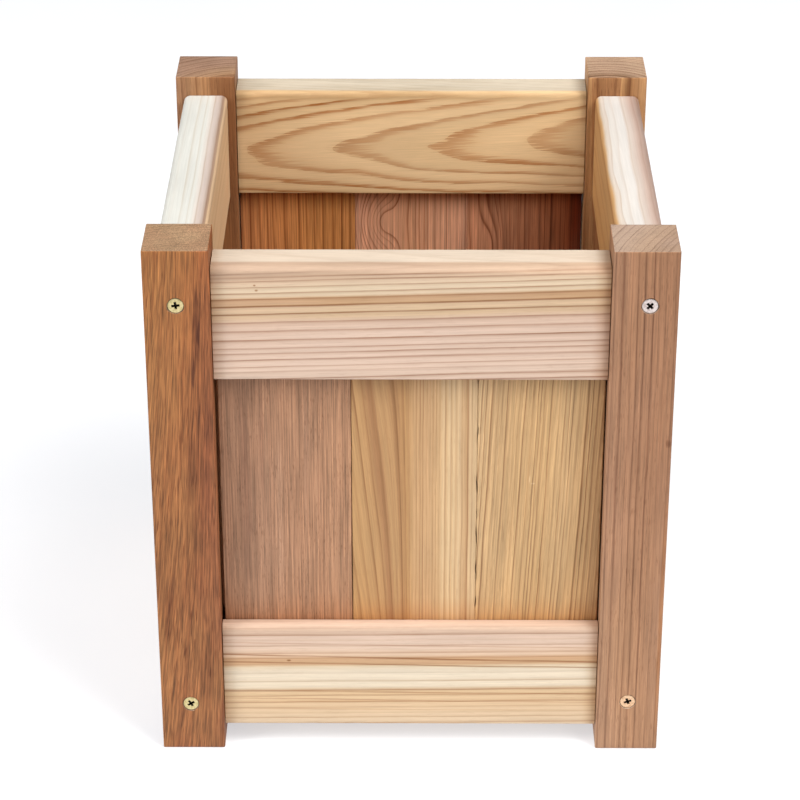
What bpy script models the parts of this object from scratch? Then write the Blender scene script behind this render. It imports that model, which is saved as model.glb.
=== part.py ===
"""Raised wooden planter: four corner posts that run down as legs, an upper and a
lower rail on every side, upright slats held in grooves in the rails, a slatted
floor on two cleats, and the screws, dowels and nails that hold it together.

Units are metres, +Z is up, +X is to the right and the front faces -Y.
The origin is on the ground, under the middle of the planter.
"""

import math

import bmesh
import bpy
from mathutils import Matrix, Vector

MM = 0.001

# ---- driving dimensions (millimetres) --------------------------------------
WIDTH = 304.8            # outside, post to post, left to right
DEPTH = 304.8            # outside, post to post, front to back
HEIGHT = 338.1           # ground to post tops
POST = 38.1              # square posts
POST_EASE = 0.7          # eased edges of a post

RAIL_THICK = 28.0
RAIL_HIGH = 71.5
RAIL_ROUND = 4.0         # rounded top edges
RAIL_EASE = 0.5          # eased bottom edges
RAIL_DROP = 12.5         # rail top below post top
GROUND_GAP = 14.6        # lower rail above the ground

SLAT_THICK = 12.7
SLAT_EASE = 0.5
SLAT_TENON = 9.5         # how far a slat end goes into a rail
GROOVE_DEEP = 10.0
GROOVE_SLACK = 0.35      # each side of a slat

BOARD_THICK = 12.7       # floor boards
BOARD_WIDE = 52.0
BOARD_GAP = 6.4
BOARD_LONG = 237.6
CLEAT = 19.0
CLEAT_BOTTOM = 17.0
CLEAT_LONG = 226.0

SCREW_LONG = 63.5
SCREW_HEAD_R = 4.6
SCREW_SHANK_R = 2.3
SCREW_SUNK = 0.4         # head below the face of the post
CLEAT_SCREW_LONG = 31.0
CLEAT_SCREW_HEAD_R = 3.9
CLEAT_SCREW_SHANK_R = 1.9
DOWEL_R = 6.35
DOWEL_LONG = 50.0
NAIL_R = 1.3
NAIL_HEAD_R = 2.6
NAIL_LONG = 25.0

CLEAR = 0.3              # gap between pieces that touch
CUT_PAST = 1.5           # how far a cutter runs past a face

HW, HD = WIDTH / 2, DEPTH / 2
SETBACK = (POST - RAIL_THICK) / 2            # rails are centred on the posts
INNER_X = HW - POST                          # inner faces of the posts
INNER_Y = HD - POST
UPPER_TOP = HEIGHT - RAIL_DROP
UPPER_BOTTOM = UPPER_TOP - RAIL_HIGH
LOWER_BOTTOM = GROUND_GAP
LOWER_TOP = LOWER_BOTTOM + RAIL_HIGH
FLOOR_BOTTOM = CLEAT_BOTTOM + CLEAT + CLEAR
FLOOR_TOP = FLOOR_BOTTOM + BOARD_THICK

# Edges of the three slats of each side, along the side, as (low, high) pairs.
SLATS = {
    "front": (("left", -112.3, -35.2), ("middle", -34.6, 39.2), ("right", 39.55, 113.4)),
    "rear": (("left", -113.2, -37.6), ("middle", -37.2, 37.1), ("right", 37.5, 113.0)),
    "left": (("front", -113.1, -38.3), ("middle", -37.9, 36.6), ("rear", 37.0, 112.9)),
    "right": (("front", -112.8, -36.9), ("middle", -36.5, 38.4), ("rear", 38.8, 113.3)),
}

# Where the long screws are driven, as (side, height) on the post face.
LONG_SCREWS = {
    "front_left_top": (-133.9, 303.8, -1),
    "front_left_bottom": (-134.4, 32.4, -1),
    "front_right_top": (136.0, 304.1, -1),
    "front_right_bottom": (133.3, 34.6, -1),
    "rear_left_top": (-133.2, 303.9, 1),
    "rear_left_bottom": (-134.0, 33.2, 1),
    "rear_right_top": (134.1, 304.3, 1),
    "rear_right_bottom": (133.6, 33.5, 1),
}
DOWEL_HEIGHTS = {"upper": 277.0, "lower": 62.0}


# ---- scene and materials ----------------------------------------------------
for old in list(bpy.data.objects):
    bpy.data.objects.remove(old, do_unlink=True)


def material(name, colour, roughness, metallic=0.0):
    made = bpy.data.materials.new(name)
    made.use_nodes = True
    shader = made.node_tree.nodes["Principled BSDF"]
    shader.inputs["Base Color"].default_value = (*colour, 1.0)
    shader.inputs["Roughness"].default_value = roughness
    shader.inputs["Metallic"].default_value = metallic
    made.diffuse_color = (*colour, 1.0)
    return made


def finish(name, bm, colour, roughness=0.6, metallic=0.0, smooth=False):
    """Turn a bmesh in millimetres into a named object in metres."""
    bmesh.ops.scale(bm, vec=(MM, MM, MM), verts=bm.verts)
    bmesh.ops.recalc_face_normals(bm, faces=bm.faces)
    mesh = bpy.data.meshes.new(name)
    bm.to_mesh(mesh)
    bm.free()
    obj = bpy.data.objects.new(name, mesh)
    bpy.context.scene.collection.objects.link(obj)
    mesh.materials.append(material(name, colour, roughness, metallic))
    if smooth:
        mesh.shade_smooth()
        mesh.set_sharp_from_angle(angle=math.radians(35))
    return obj


def cutter(name, bm):
    obj = finish("cut_" + name, bm, (0.5, 0.5, 0.5))
    obj.hide_render = True
    obj.display_type = "WIRE"
    return obj


def cut(obj, tool):
    hole = obj.modifiers.new("hole", "BOOLEAN")
    hole.operation = "DIFFERENCE"
    hole.solver = "EXACT"
    hole.object = tool


# ---- shapes -----------------------------------------------------------------
def prism(profile, place, low, high):
    """Extrude a closed profile of (u, v) points from low to high. place turns
    (u, v, run) into a position."""
    bm = bmesh.new()
    face = bm.faces.new([bm.verts.new(place(u, v, low)) for u, v in profile])
    pushed = bmesh.ops.extrude_face_region(bm, geom=[face])
    shift = Vector(place(0, 0, high)) - Vector(place(0, 0, low))
    moved = [v for v in pushed["geom"] if isinstance(v, bmesh.types.BMVert)]
    bmesh.ops.translate(bm, vec=shift, verts=moved)
    return bm


def eased(low_u, high_u, low_v, high_v, ease):
    """A rectangle with its corners cut back a little."""
    return [
        (low_u + ease, low_v), (high_u - ease, low_v),
        (high_u, low_v + ease), (high_u, high_v - ease),
        (high_u - ease, high_v), (low_u + ease, high_v),
        (low_u, high_v - ease), (low_u, low_v + ease),
    ]


def arc(centre_u, centre_v, radius, first, last, steps=4):
    return [
        (
            centre_u + radius * math.cos(math.radians(first + (last - first) * k / steps)),
            centre_v + radius * math.sin(math.radians(first + (last - first) * k / steps)),
        )
        for k in range(steps + 1)
    ]


def rail_profile(upper):
    """Rail section as (distance from its outer face, height above its bottom).
    The top edges are rounded. An upper rail is grooved from below and a lower
    rail from above, for the ends of the slats."""
    t, h, r, e = RAIL_THICK, RAIL_HIGH, RAIL_ROUND, RAIL_EASE
    half = SLAT_THICK / 2 + GROOVE_SLACK
    a, b = t / 2 - half, t / 2 + half
    bottom = [(0, e), (e, 0)]
    if upper:
        bottom += [(a, 0), (a, GROOVE_DEEP), (b, GROOVE_DEEP), (b, 0)]
    bottom += [(t - e, 0), (t, e)]
    top = arc(t - r, h - r, r, 0, 90)
    if not upper:
        top += [(b, h), (b, h - GROOVE_DEEP), (a, h - GROOVE_DEEP), (a, h)]
    top += arc(r, h - r, r, 90, 180)
    return bottom + top


def turned(profile, sides, phase=0.0):
    """A solid of revolution about Z from (radius, height) pairs that start and
    end on the axis."""
    bm = bmesh.new()
    rings = []
    for radius, height in profile:
        if radius == 0:
            rings.append([bm.verts.new((0, 0, height))])
            continue
        rings.append([
            bm.verts.new((
                radius * math.cos(2 * math.pi * (k + phase) / sides),
                radius * math.sin(2 * math.pi * (k + phase) / sides),
                height,
            ))
            for k in range(sides)
        ])
    for one, two in zip(rings, rings[1:]):
        for k in range(sides):
            n = (k + 1) % sides
            loop = [one[k % len(one)], one[n % len(one)], two[n % len(two)], two[k % len(two)]]
            bm.faces.new(list(dict.fromkeys(loop)))
    return bm


def aim(bm, position, direction):
    """Stand the local +Z axis along direction, with its origin at position."""
    turn = Vector(direction).to_track_quat("Z", "Y").to_matrix().to_4x4()
    bmesh.ops.transform(bm, matrix=Matrix.Translation(position) @ turn, verts=bm.verts)
    return bm


def screw_profile(head_r, shank_r, length):
    """Countersunk screw: flat head at 0, point at -length."""
    cone = head_r - shank_r
    return [
        (0, 0), (head_r, 0), (head_r, -0.4), (shank_r, -0.4 - cone),
        (shank_r, -length + 6), (0, -length),
    ]


def screw_hole_profile(head_r, shank_r, length, sunk):
    """The space for a screw, a little larger all round, open past its head."""
    cone = head_r - shank_r
    return [
        (0, sunk + CUT_PAST), (head_r + CLEAR + 0.1, sunk + CUT_PAST),
        (head_r + CLEAR + 0.1, -0.5), (shank_r + CLEAR + 0.1, -0.5 - cone),
        (shank_r + CLEAR + 0.1, -length + 5.5), (0, -length - 1.0),
    ]


def cross_recess(reach, half_width, deep):
    """A tapered cross, for the driver recess in a screw head."""
    def plus(arm, half, height):
        quarter = [(arm, -half), (arm, half), (half, half)]
        points = []
        for k in range(4):
            turn = Matrix.Rotation(k * math.pi / 2, 3, "Z")
            points += [turn @ Vector((u, v, height)) for u, v in quarter]
        return points

    bm = bmesh.new()
    rim = [bm.verts.new(p) for p in plus(reach, half_width, 0.6)]
    foot = [bm.verts.new(p) for p in plus(reach * 0.35, half_width * 0.8, -deep)]
    bm.faces.new(rim)
    bm.faces.new(foot[::-1])
    for k in range(12):
        bm.faces.new([rim[k], foot[k], foot[(k + 1) % 12], rim[(k + 1) % 12]])
    return bm


# ---- corner posts -----------------------------------------------------------
POST_COLOURS = {
    "front_left": (0.42, 0.19, 0.10), "front_right": (0.53, 0.29, 0.18),
    "rear_left": (0.44, 0.24, 0.15), "rear_right": (0.46, 0.26, 0.16),
}
posts = {}
for end, sy in (("front", -1), ("rear", 1)):
    for hand, sx in (("left", -1), ("right", 1)):
        bm = bmesh.new()
        bmesh.ops.create_cube(bm, size=1.0)
        bmesh.ops.scale(bm, vec=(POST, POST, HEIGHT), verts=bm.verts)
        bmesh.ops.translate(
            bm, vec=(sx * (HW - POST / 2), sy * (HD - POST / 2), HEIGHT / 2), verts=bm.verts
        )
        bmesh.ops.bevel(
            bm, geom=list(bm.edges), offset=POST_EASE, segments=1, profile=0.5, affect="EDGES"
        )
        key = end + "_" + hand
        posts[key] = finish("post_" + key, bm, POST_COLOURS[key])

# ---- rails ------------------------------------------------------------------
FRONT_REAR_END = INNER_X - CLEAR
SIDE_END = INNER_Y - CLEAR
RAIL_COLOURS = {"front": (0.72, 0.52, 0.35), "rear": (0.68, 0.42, 0.22),
                "left": (0.76, 0.60, 0.44), "right": (0.74, 0.58, 0.42)}
OUTSIDE = {
    # side: how (distance from the outer face, height, run) lie in space
    "front": lambda d, z, s: (s, -HD + SETBACK + d, z),
    "rear": lambda d, z, s: (s, HD - SETBACK - d, z),
    "left": lambda d, z, s: (-HW + SETBACK + d, s, z),
    "right": lambda d, z, s: (HW - SETBACK - d, s, z),
}
rails = {}
for level, bottom in (("upper", UPPER_BOTTOM), ("lower", LOWER_BOTTOM)):
    section = [(d, z + bottom) for d, z in rail_profile(level == "upper")]
    for side, place in OUTSIDE.items():
        end = FRONT_REAR_END if side in ("front", "rear") else SIDE_END
        rails[level, side] = finish(
            level + "_rail_" + side, prism(section, place, -end, end), RAIL_COLOURS[side]
        )

# ---- slats ------------------------------------------------------------------
SLAT_COLOURS = {"left": (0.50, 0.30, 0.19), "middle": (0.62, 0.38, 0.20),
                "right": (0.64, 0.42, 0.24), "front": (0.60, 0.38, 0.22),
                "rear": (0.52, 0.30, 0.18)}
first = (RAIL_THICK - SLAT_THICK) / 2
for side, pieces in SLATS.items():
    place = OUTSIDE[side]
    for where, low, high in pieces:
        bm = prism(
            eased(first, first + SLAT_THICK, low, high, SLAT_EASE),
            lambda d, s, z, place=place: place(d, z, s),
            LOWER_TOP - SLAT_TENON,
            UPPER_BOTTOM + SLAT_TENON,
        )
        finish("slat_" + side + "_" + where, bm, SLAT_COLOURS[where])

# ---- floor boards and the cleats they lie on --------------------------------
boards = {}
names = ("left", "mid_left", "mid_right", "right")
for n, name in enumerate(names):
    middle = (n - 1.5) * (BOARD_WIDE + BOARD_GAP)
    bm = prism(
        eased(middle - BOARD_WIDE / 2, middle + BOARD_WIDE / 2, FLOOR_BOTTOM, FLOOR_TOP, 0.6),
        lambda u, v, s: (u, s, v),
        -BOARD_LONG / 2,
        BOARD_LONG / 2,
    )
    boards[name] = (middle, finish("floor_board_" + name, bm, (0.60, 0.40, 0.25)))

cleats = {}
RAIL_INNER = HD - SETBACK - RAIL_THICK
for side, sy in (("front", -1), ("rear", 1)):
    near, far = RAIL_INNER - CLEAR, RAIL_INNER - CLEAR - CLEAT
    low, high = sorted((sy * near, sy * far))
    bm = prism(
        eased(low, high, CLEAT_BOTTOM, CLEAT_BOTTOM + CLEAT, 0.6),
        lambda u, v, s: (s, u, v),
        -CLEAT_LONG / 2,
        CLEAT_LONG / 2,
    )
    cleats[side] = finish("floor_cleat_" + side, bm, (0.58, 0.36, 0.22))

# ---- long screws, through the posts into the ends of the side rails ---------
for key, (x, z, sy) in LONG_SCREWS.items():
    end, hand, level = key.split("_")
    out = (0, sy, 0)
    head = (x, sy * (HD - SCREW_SUNK), z)
    body = aim(turned(screw_profile(SCREW_HEAD_R, SCREW_SHANK_R, SCREW_LONG), 16), head, out)
    screw = finish("screw_" + key, body, (0.62, 0.50, 0.27), 0.35, 1.0, smooth=True)
    recess = aim(cross_recess(2.5, 0.55, 2.3), head, out)
    cut(screw, cutter("recess_" + key, recess))
    space = aim(
        turned(screw_hole_profile(SCREW_HEAD_R, SCREW_SHANK_R, SCREW_LONG, SCREW_SUNK), 16),
        head, out,
    )
    tool = cutter("screw_" + key, space)
    cut(posts[end + "_" + hand], tool)
    cut(rails["upper" if level == "top" else "lower", hand], tool)

# ---- dowels, between the front and rear rails and the posts -----------------
for level, z in DOWEL_HEIGHTS.items():
    for end, sy in (("front", -1), ("rear", 1)):
        for hand, sx in (("left", -1), ("right", 1)):
            half, soft = DOWEL_LONG / 2, 1.2
            middle = (sx * INNER_X, sy * (HD - POST / 2), z)
            peg = turned(
                [(0, -half), (DOWEL_R - soft, -half), (DOWEL_R, -half + soft),
                 (DOWEL_R, half - soft), (DOWEL_R - soft, half), (0, half)], 12, 0.5,
            )
            finish("dowel_" + level + "_" + end + "_" + hand, aim(peg, middle, (1, 0, 0)),
                   (0.70, 0.55, 0.38), smooth=True)
            wide, deep = DOWEL_R + CLEAR + 0.1, half + 1.0
            socket = turned([(0, -deep), (wide, -deep), (wide, deep), (0, deep)], 12, 0.5)
            tool = cutter("dowel_" + level + end + hand, aim(socket, middle, (1, 0, 0)))
            cut(posts[end + "_" + hand], tool)
            cut(rails[level, end], tool)

# ---- short screws, through the cleats into the lower rails ------------------
for side, sy in (("front", -1), ("rear", 1)):
    for hand, x in (("left", -70.0), ("right", 70.0)):
        face = sy * (RAIL_INNER - CLEAR - CLEAT)
        head = (x, face + sy * SCREW_SUNK, CLEAT_BOTTOM + CLEAT / 2)
        out = (0, -sy, 0)
        key = "cleat_screw_" + side + "_" + hand
        body = aim(
            turned(screw_profile(CLEAT_SCREW_HEAD_R, CLEAT_SCREW_SHANK_R, CLEAT_SCREW_LONG), 12),
            head, out,
        )
        screw = finish(key, body, (0.62, 0.50, 0.27), 0.35, 1.0, smooth=True)
        cut(screw, cutter("recess_" + key, aim(cross_recess(2.1, 0.5, 1.9), head, out)))
        space = screw_hole_profile(
            CLEAT_SCREW_HEAD_R, CLEAT_SCREW_SHANK_R, CLEAT_SCREW_LONG, SCREW_SUNK
        )
        tool = cutter(key, aim(turned(space, 12), head, out))
        cut(cleats[side], tool)
        cut(rails["lower", side], tool)

# ---- nails, through the floor boards into the cleats ------------------------
for side, sy in (("front", -1), ("rear", 1)):
    y = sy * (RAIL_INNER - CLEAR - CLEAT / 2)
    for name, (x, board) in boards.items():
        key = "floor_nail_" + side + "_" + name
        head = (x, y, FLOOR_TOP - 0.3)
        nail = turned(
            [(0, 0), (NAIL_HEAD_R, 0), (NAIL_HEAD_R, -0.9), (NAIL_R, -1.3),
             (NAIL_R, -NAIL_LONG + 3), (0, -NAIL_LONG)], 10,
        )
        finish(key, aim(nail, head, (0, 0, 1)), (0.55, 0.55, 0.56), 0.4, 1.0, smooth=True)
        wide = NAIL_R + CLEAR + 0.1
        space = turned(
            [(0, CUT_PAST), (NAIL_HEAD_R + CLEAR + 0.1, CUT_PAST),
             (NAIL_HEAD_R + CLEAR + 0.1, -1.3), (wide, -1.7),
             (wide, -NAIL_LONG + 2.5), (0, -NAIL_LONG - 1.0)], 10,
        )
        tool = cutter(key, aim(space, head, (0, 0, 1)))
        cut(board, tool)
        cut(cleats[side], tool)
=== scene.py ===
"""Looks of the raised cedar planter: boards with softened edges and small wear,
procedural wood with its own growth rings on every board, real screws, dowels and
nails, on a pale glowing floor under five soft boxes: one above, two on the right
and two on the left.

Lengths inside the helpers are millimetres; the scene itself is in metres.
"""
import math

import bmesh
import bpy
import numpy as np
from mathutils import Matrix, Vector


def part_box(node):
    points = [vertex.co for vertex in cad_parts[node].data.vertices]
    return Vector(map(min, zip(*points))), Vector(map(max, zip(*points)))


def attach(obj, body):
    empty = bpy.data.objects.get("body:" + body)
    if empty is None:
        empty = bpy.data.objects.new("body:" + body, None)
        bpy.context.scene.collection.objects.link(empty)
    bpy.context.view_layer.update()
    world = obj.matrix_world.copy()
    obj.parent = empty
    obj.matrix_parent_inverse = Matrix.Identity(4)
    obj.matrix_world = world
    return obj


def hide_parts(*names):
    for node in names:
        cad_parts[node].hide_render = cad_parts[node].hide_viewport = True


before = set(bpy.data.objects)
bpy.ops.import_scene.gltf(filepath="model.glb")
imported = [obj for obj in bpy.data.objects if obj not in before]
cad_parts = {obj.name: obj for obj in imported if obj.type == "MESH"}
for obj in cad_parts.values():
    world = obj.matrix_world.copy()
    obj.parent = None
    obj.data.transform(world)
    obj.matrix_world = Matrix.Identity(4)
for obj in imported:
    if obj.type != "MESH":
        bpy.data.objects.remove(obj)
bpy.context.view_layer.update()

scene = bpy.context.scene
scene.view_settings.view_transform = "Standard"
scene.view_settings.look = "None"

MM = 0.001


def mm_box(node):
    low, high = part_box(node)
    return [v * 1000 for v in low], [v * 1000 for v in high]


# =============================================================================
# small numpy noise, for the shape of the boards
# =============================================================================
def lattice(ix, iy, iz, seed):
    with np.errstate(over="ignore"):
        n = (ix.astype(np.uint32) * np.uint32(374761393)
             + iy.astype(np.uint32) * np.uint32(668265263)
             + iz.astype(np.uint32) * np.uint32(2246822519)
             + np.uint32(seed * 7919 + 13))
        n = (n ^ (n >> np.uint32(13))) * np.uint32(1274126177)
        n = n ^ (n >> np.uint32(16))
    return n.astype(np.float64) / 4294967295.0 * 2 - 1


def vnoise(points, scale, seed):
    """Smooth value noise in -1..1 at points (N, 3), with feature sizes scale."""
    p = points / np.asarray(scale, float) + 1000.0
    i = np.floor(p).astype(np.int64)
    f = p - i
    f = f * f * (3 - 2 * f)
    total = np.zeros(len(points))
    for dx in (0, 1):
        for dy in (0, 1):
            for dz in (0, 1):
                w = (np.abs(1 - dx - f[:, 0]) * np.abs(1 - dy - f[:, 1])
                     * np.abs(1 - dz - f[:, 2]))
                total += w * lattice(i[:, 0] + dx, i[:, 1] + dy, i[:, 2] + dz, seed)
    return total


# =============================================================================
# meshes
# =============================================================================
def outline(corners, step):
    """Points and outward normals round a closed section. corners is a list of
    (u, v, radius), anticlockwise. Flats are cut to about step, rounds finely."""
    pts, nrm, edge = [], [], []
    n = len(corners)
    starts, ends = [], []
    for k in range(n):
        u, v, r = corners[k]
        pu, pv, _ = corners[k - 1]
        nu, nv, _ = corners[(k + 1) % n]
        din = np.array([u - pu, v - pv], float); din /= np.linalg.norm(din)
        dout = np.array([nu - u, nv - v], float); dout /= np.linalg.norm(dout)
        cross = din[0] * dout[1] - din[1] * dout[0]
        sign = 1.0 if cross > 0 else -1.0
        turn = math.acos(max(-1.0, min(1.0, float(din @ dout))))
        t = r * math.tan(turn / 2)
        corner = np.array([u, v], float)
        a = corner - din * t
        b = corner + dout * t
        normal_in = np.array([din[1], -din[0]])
        centre = a - normal_in * r * sign
        count = 3 if r < 0.45 else (5 if r < 1.6 else 9)
        arc_p, arc_n = [], []
        for q in range(count + 1):
            ang = sign * turn * q / count
            c, s = math.cos(ang), math.sin(ang)
            nn = np.array([normal_in[0] * c - normal_in[1] * s,
                           normal_in[0] * s + normal_in[1] * c])
            arc_p.append(centre + nn * r * sign)
            arc_n.append(nn)
        starts.append((a, arc_p, arc_n, sign))
        ends.append(b)
    for k in range(n):
        a, arc_p, arc_n, sign = starts[k]
        for q, (p, m) in enumerate(zip(arc_p, arc_n)):
            pts.append(p); nrm.append(m)
            # 1 at the middle of a convex round, 0 on flats and in inner corners
            edge.append(max(0.0, math.sin(math.pi * q / (len(arc_p) - 1))) if sign > 0 else 0.0)
        b, nxt = arc_p[-1], starts[(k + 1) % n][0]
        run = np.linalg.norm(nxt - b)
        cuts = max(1, int(round(run / step)))
        for q in range(1, cuts):
            # a little denser near the edges
            s = q / cuts
            s = s + 0.07 * math.sin(2 * math.pi * s) * (1 if cuts > 3 else 0)
            s = q / cuts * 0.6 + (0.5 - 0.5 * math.cos(math.pi * q / cuts)) * 0.4
            pts.append(b + (nxt - b) * s); nrm.append(arc_n[-1]); edge.append(0.0)
    return np.array(pts), np.array(nrm), np.array(edge)


PLACE = {
    "Z": lambda u, v, w: np.stack([u, v, w], 1),
    "X": lambda u, v, w: np.stack([w, u, v], 1),
    "Y": lambda u, v, w: np.stack([u, w, v], 1),
}


def board_mesh(name, axis, corners, low, high, step=3.0, along=5.0, end_ease=0.45,
               bow=0.10, wear=0.35, chips=(), seed=1, cap_rings=True):
    """A board as one closed mesh: its section swept along axis, eased ends, and
    small inward dents, wear along the edges and chips. Nothing stands outside
    the given section and length."""
    pts, nrm, edge = outline(corners, step)
    m = len(pts)
    turns = [(end_ease * (1 - math.cos(a)), end_ease * (1 - math.sin(a)))
             for a in (0.0, math.pi / 6, math.pi / 3, math.pi / 2)]
    middle = np.linspace(low + end_ease, high - end_ease,
                         max(2, int(round((high - low) / along))) + 1)
    rows = [(low + w, inset) for w, inset in turns[:-1]]
    rows += [(w, 0.0) for w in middle]
    rows += [(high - w, inset) for w, inset in turns[:-1][::-1]]
    place = PLACE[axis]
    coords, normals, edges, runs = [], [], [], []
    for w, inset in rows:
        p = pts - nrm * inset
        coords.append(place(p[:, 0], p[:, 1], np.full(m, w)))
        normals.append(place(nrm[:, 0], nrm[:, 1], np.zeros(m)))
        edges.append(edge); runs.append(np.full(m, w))
    co = np.concatenate(coords); no = np.concatenate(normals)
    ed = np.concatenate(edges); run = np.concatenate(runs)
    # slow unevenness of a planed board, always inwards
    slow = vnoise(co, (34, 34, 34), seed) * 0.6 + vnoise(co, (13, 13, 13), seed + 5) * 0.4
    dent = bow * (0.5 + 0.5 * slow)
    # wear and small bruises along the arrises
    worn = np.clip(vnoise(co, (7, 7, 7), seed + 11) * 0.7 + vnoise(co, (3, 3, 3), seed + 12) * 0.5 - 0.12, 0, 1)
    dent = dent + wear * ed * worn
    for cx, cy, cz, reach, deep in chips:
        d = np.sqrt(((co - np.array([cx, cy, cz])) / np.asarray(reach, float)) ** 2 @ np.ones(3))
        dent = dent + deep * np.clip(1 - d, 0, 1) ** 1.5
    co = co - no * dent[:, None]
    verts = [tuple(c) for c in co]
    faces, mats = [], []
    nrows = len(rows)
    for j in range(nrows - 1):
        for i in range(m):
            k = (i + 1) % m
            faces.append((j * m + i, j * m + k, (j + 1) * m + k, (j + 1) * m + i))
            mats.append(1 if (j < 1 or j >= nrows - 2) else 0)
    for end in (0, 1):
        base = 0 if end == 0 else (nrows - 1) * m
        ring = list(range(base, base + m))
        if cap_rings:
            rim = np.array([verts[i] for i in ring])
            centre = rim.mean(0)
            for s in (0.86, 0.66, 0.44, 0.2):
                inner = centre + (rim - centre) * s
                dip = 0.05 * (0.5 + 0.5 * vnoise(inner, (9, 9, 9), seed + 31))
                axis_vec = {"Z": (0, 0, 1), "X": (1, 0, 0), "Y": (0, 1, 0)}[axis]
                inner = inner + np.outer(dip, axis_vec) * (1 if end == 0 else -1)
                first = len(verts)
                verts.extend(tuple(c) for c in inner)
                new = list(range(first, first + m))
                for i in range(m):
                    k = (i + 1) % m
                    faces.append((ring[i], ring[k], new[k], new[i])); mats.append(1)
                ring = new
        faces.append(tuple(ring)); mats.append(1)
    return finish_mesh(name, verts, faces, mats)


def finish_mesh(name, verts, faces, mats=None, smooth=35):
    mesh = bpy.data.meshes.new(name)
    mesh.from_pydata([tuple(c * MM for c in v) for v in verts], [], faces)
    if mats is not None:
        mesh.polygons.foreach_set("material_index", mats)
    bm = bmesh.new()
    bm.from_mesh(mesh)
    bmesh.ops.recalc_face_normals(bm, faces=bm.faces)
    bm.to_mesh(mesh)
    bm.free()
    mesh.update()
    obj = bpy.data.objects.new(name, mesh)
    scene.collection.objects.link(obj)
    if smooth:
        mesh.shade_smooth()
        mesh.set_sharp_from_angle(angle=math.radians(smooth))
    return obj


def lathe(profile, sides, radius_at=None):
    """Verts and faces of a turned solid about local Z. profile goes from the
    axis to the axis; radius_at(angle, r, z, row) may reshape it."""
    verts, faces, rings = [], [], []
    for row, (r, z) in enumerate(profile):
        if r == 0:
            rings.append([len(verts)]); verts.append((0.0, 0.0, z)); continue
        ring = []
        for k in range(sides):
            ang = 2 * math.pi * k / sides
            rr = radius_at(ang, r, z, row) if radius_at else r
            ring.append(len(verts))
            verts.append((rr * math.cos(ang), rr * math.sin(ang), z))
        rings.append(ring)
    for one, two in zip(rings, rings[1:]):
        for k in range(sides):
            n = (k + 1) % sides
            loop = [one[k % len(one)], one[n % len(one)], two[n % len(two)], two[k % len(two)]]
            faces.append(tuple(dict.fromkeys(loop)))
    return verts, faces


def aimed(verts, position, direction, roll=0.0):
    """Local +Z along direction, turned by roll about it, moved to position."""
    turn = (Matrix.Translation(Vector(position))
            @ Vector(direction).to_track_quat("Z", "Y").to_matrix().to_4x4()
            @ Matrix.Rotation(roll, 4, "Z"))
    return [tuple(turn @ Vector(v)) for v in verts]


def apply_modifiers(obj):
    graph = bpy.context.evaluated_depsgraph_get()
    mesh = bpy.data.meshes.new_from_object(obj.evaluated_get(graph), depsgraph=graph)
    obj.modifiers.clear()
    old = obj.data
    obj.data = mesh
    mesh.name = obj.name
    bpy.data.meshes.remove(old)


def cut_holes(obj, tools):
    """Cut a board once with all of its hole tools, given as (verts, faces)."""
    if not tools:
        return
    verts, faces = [], []
    for tv, tf in tools:
        base = len(verts)
        verts.extend(tv)
        faces.extend(tuple(base + i for i in f) for f in tf)
    tool = finish_mesh("tool", verts, faces, [1] * len(faces), smooth=0)
    for slot in obj.data.materials:
        tool.data.materials.append(slot)
    mod = obj.modifiers.new("holes", "BOOLEAN")
    mod.operation = "DIFFERENCE"
    mod.solver = "EXACT"
    mod.object = tool
    apply_modifiers(obj)
    bpy.data.objects.remove(tool, do_unlink=True)
    obj.data.shade_smooth()
    obj.data.set_sharp_from_angle(angle=math.radians(32))


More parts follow.
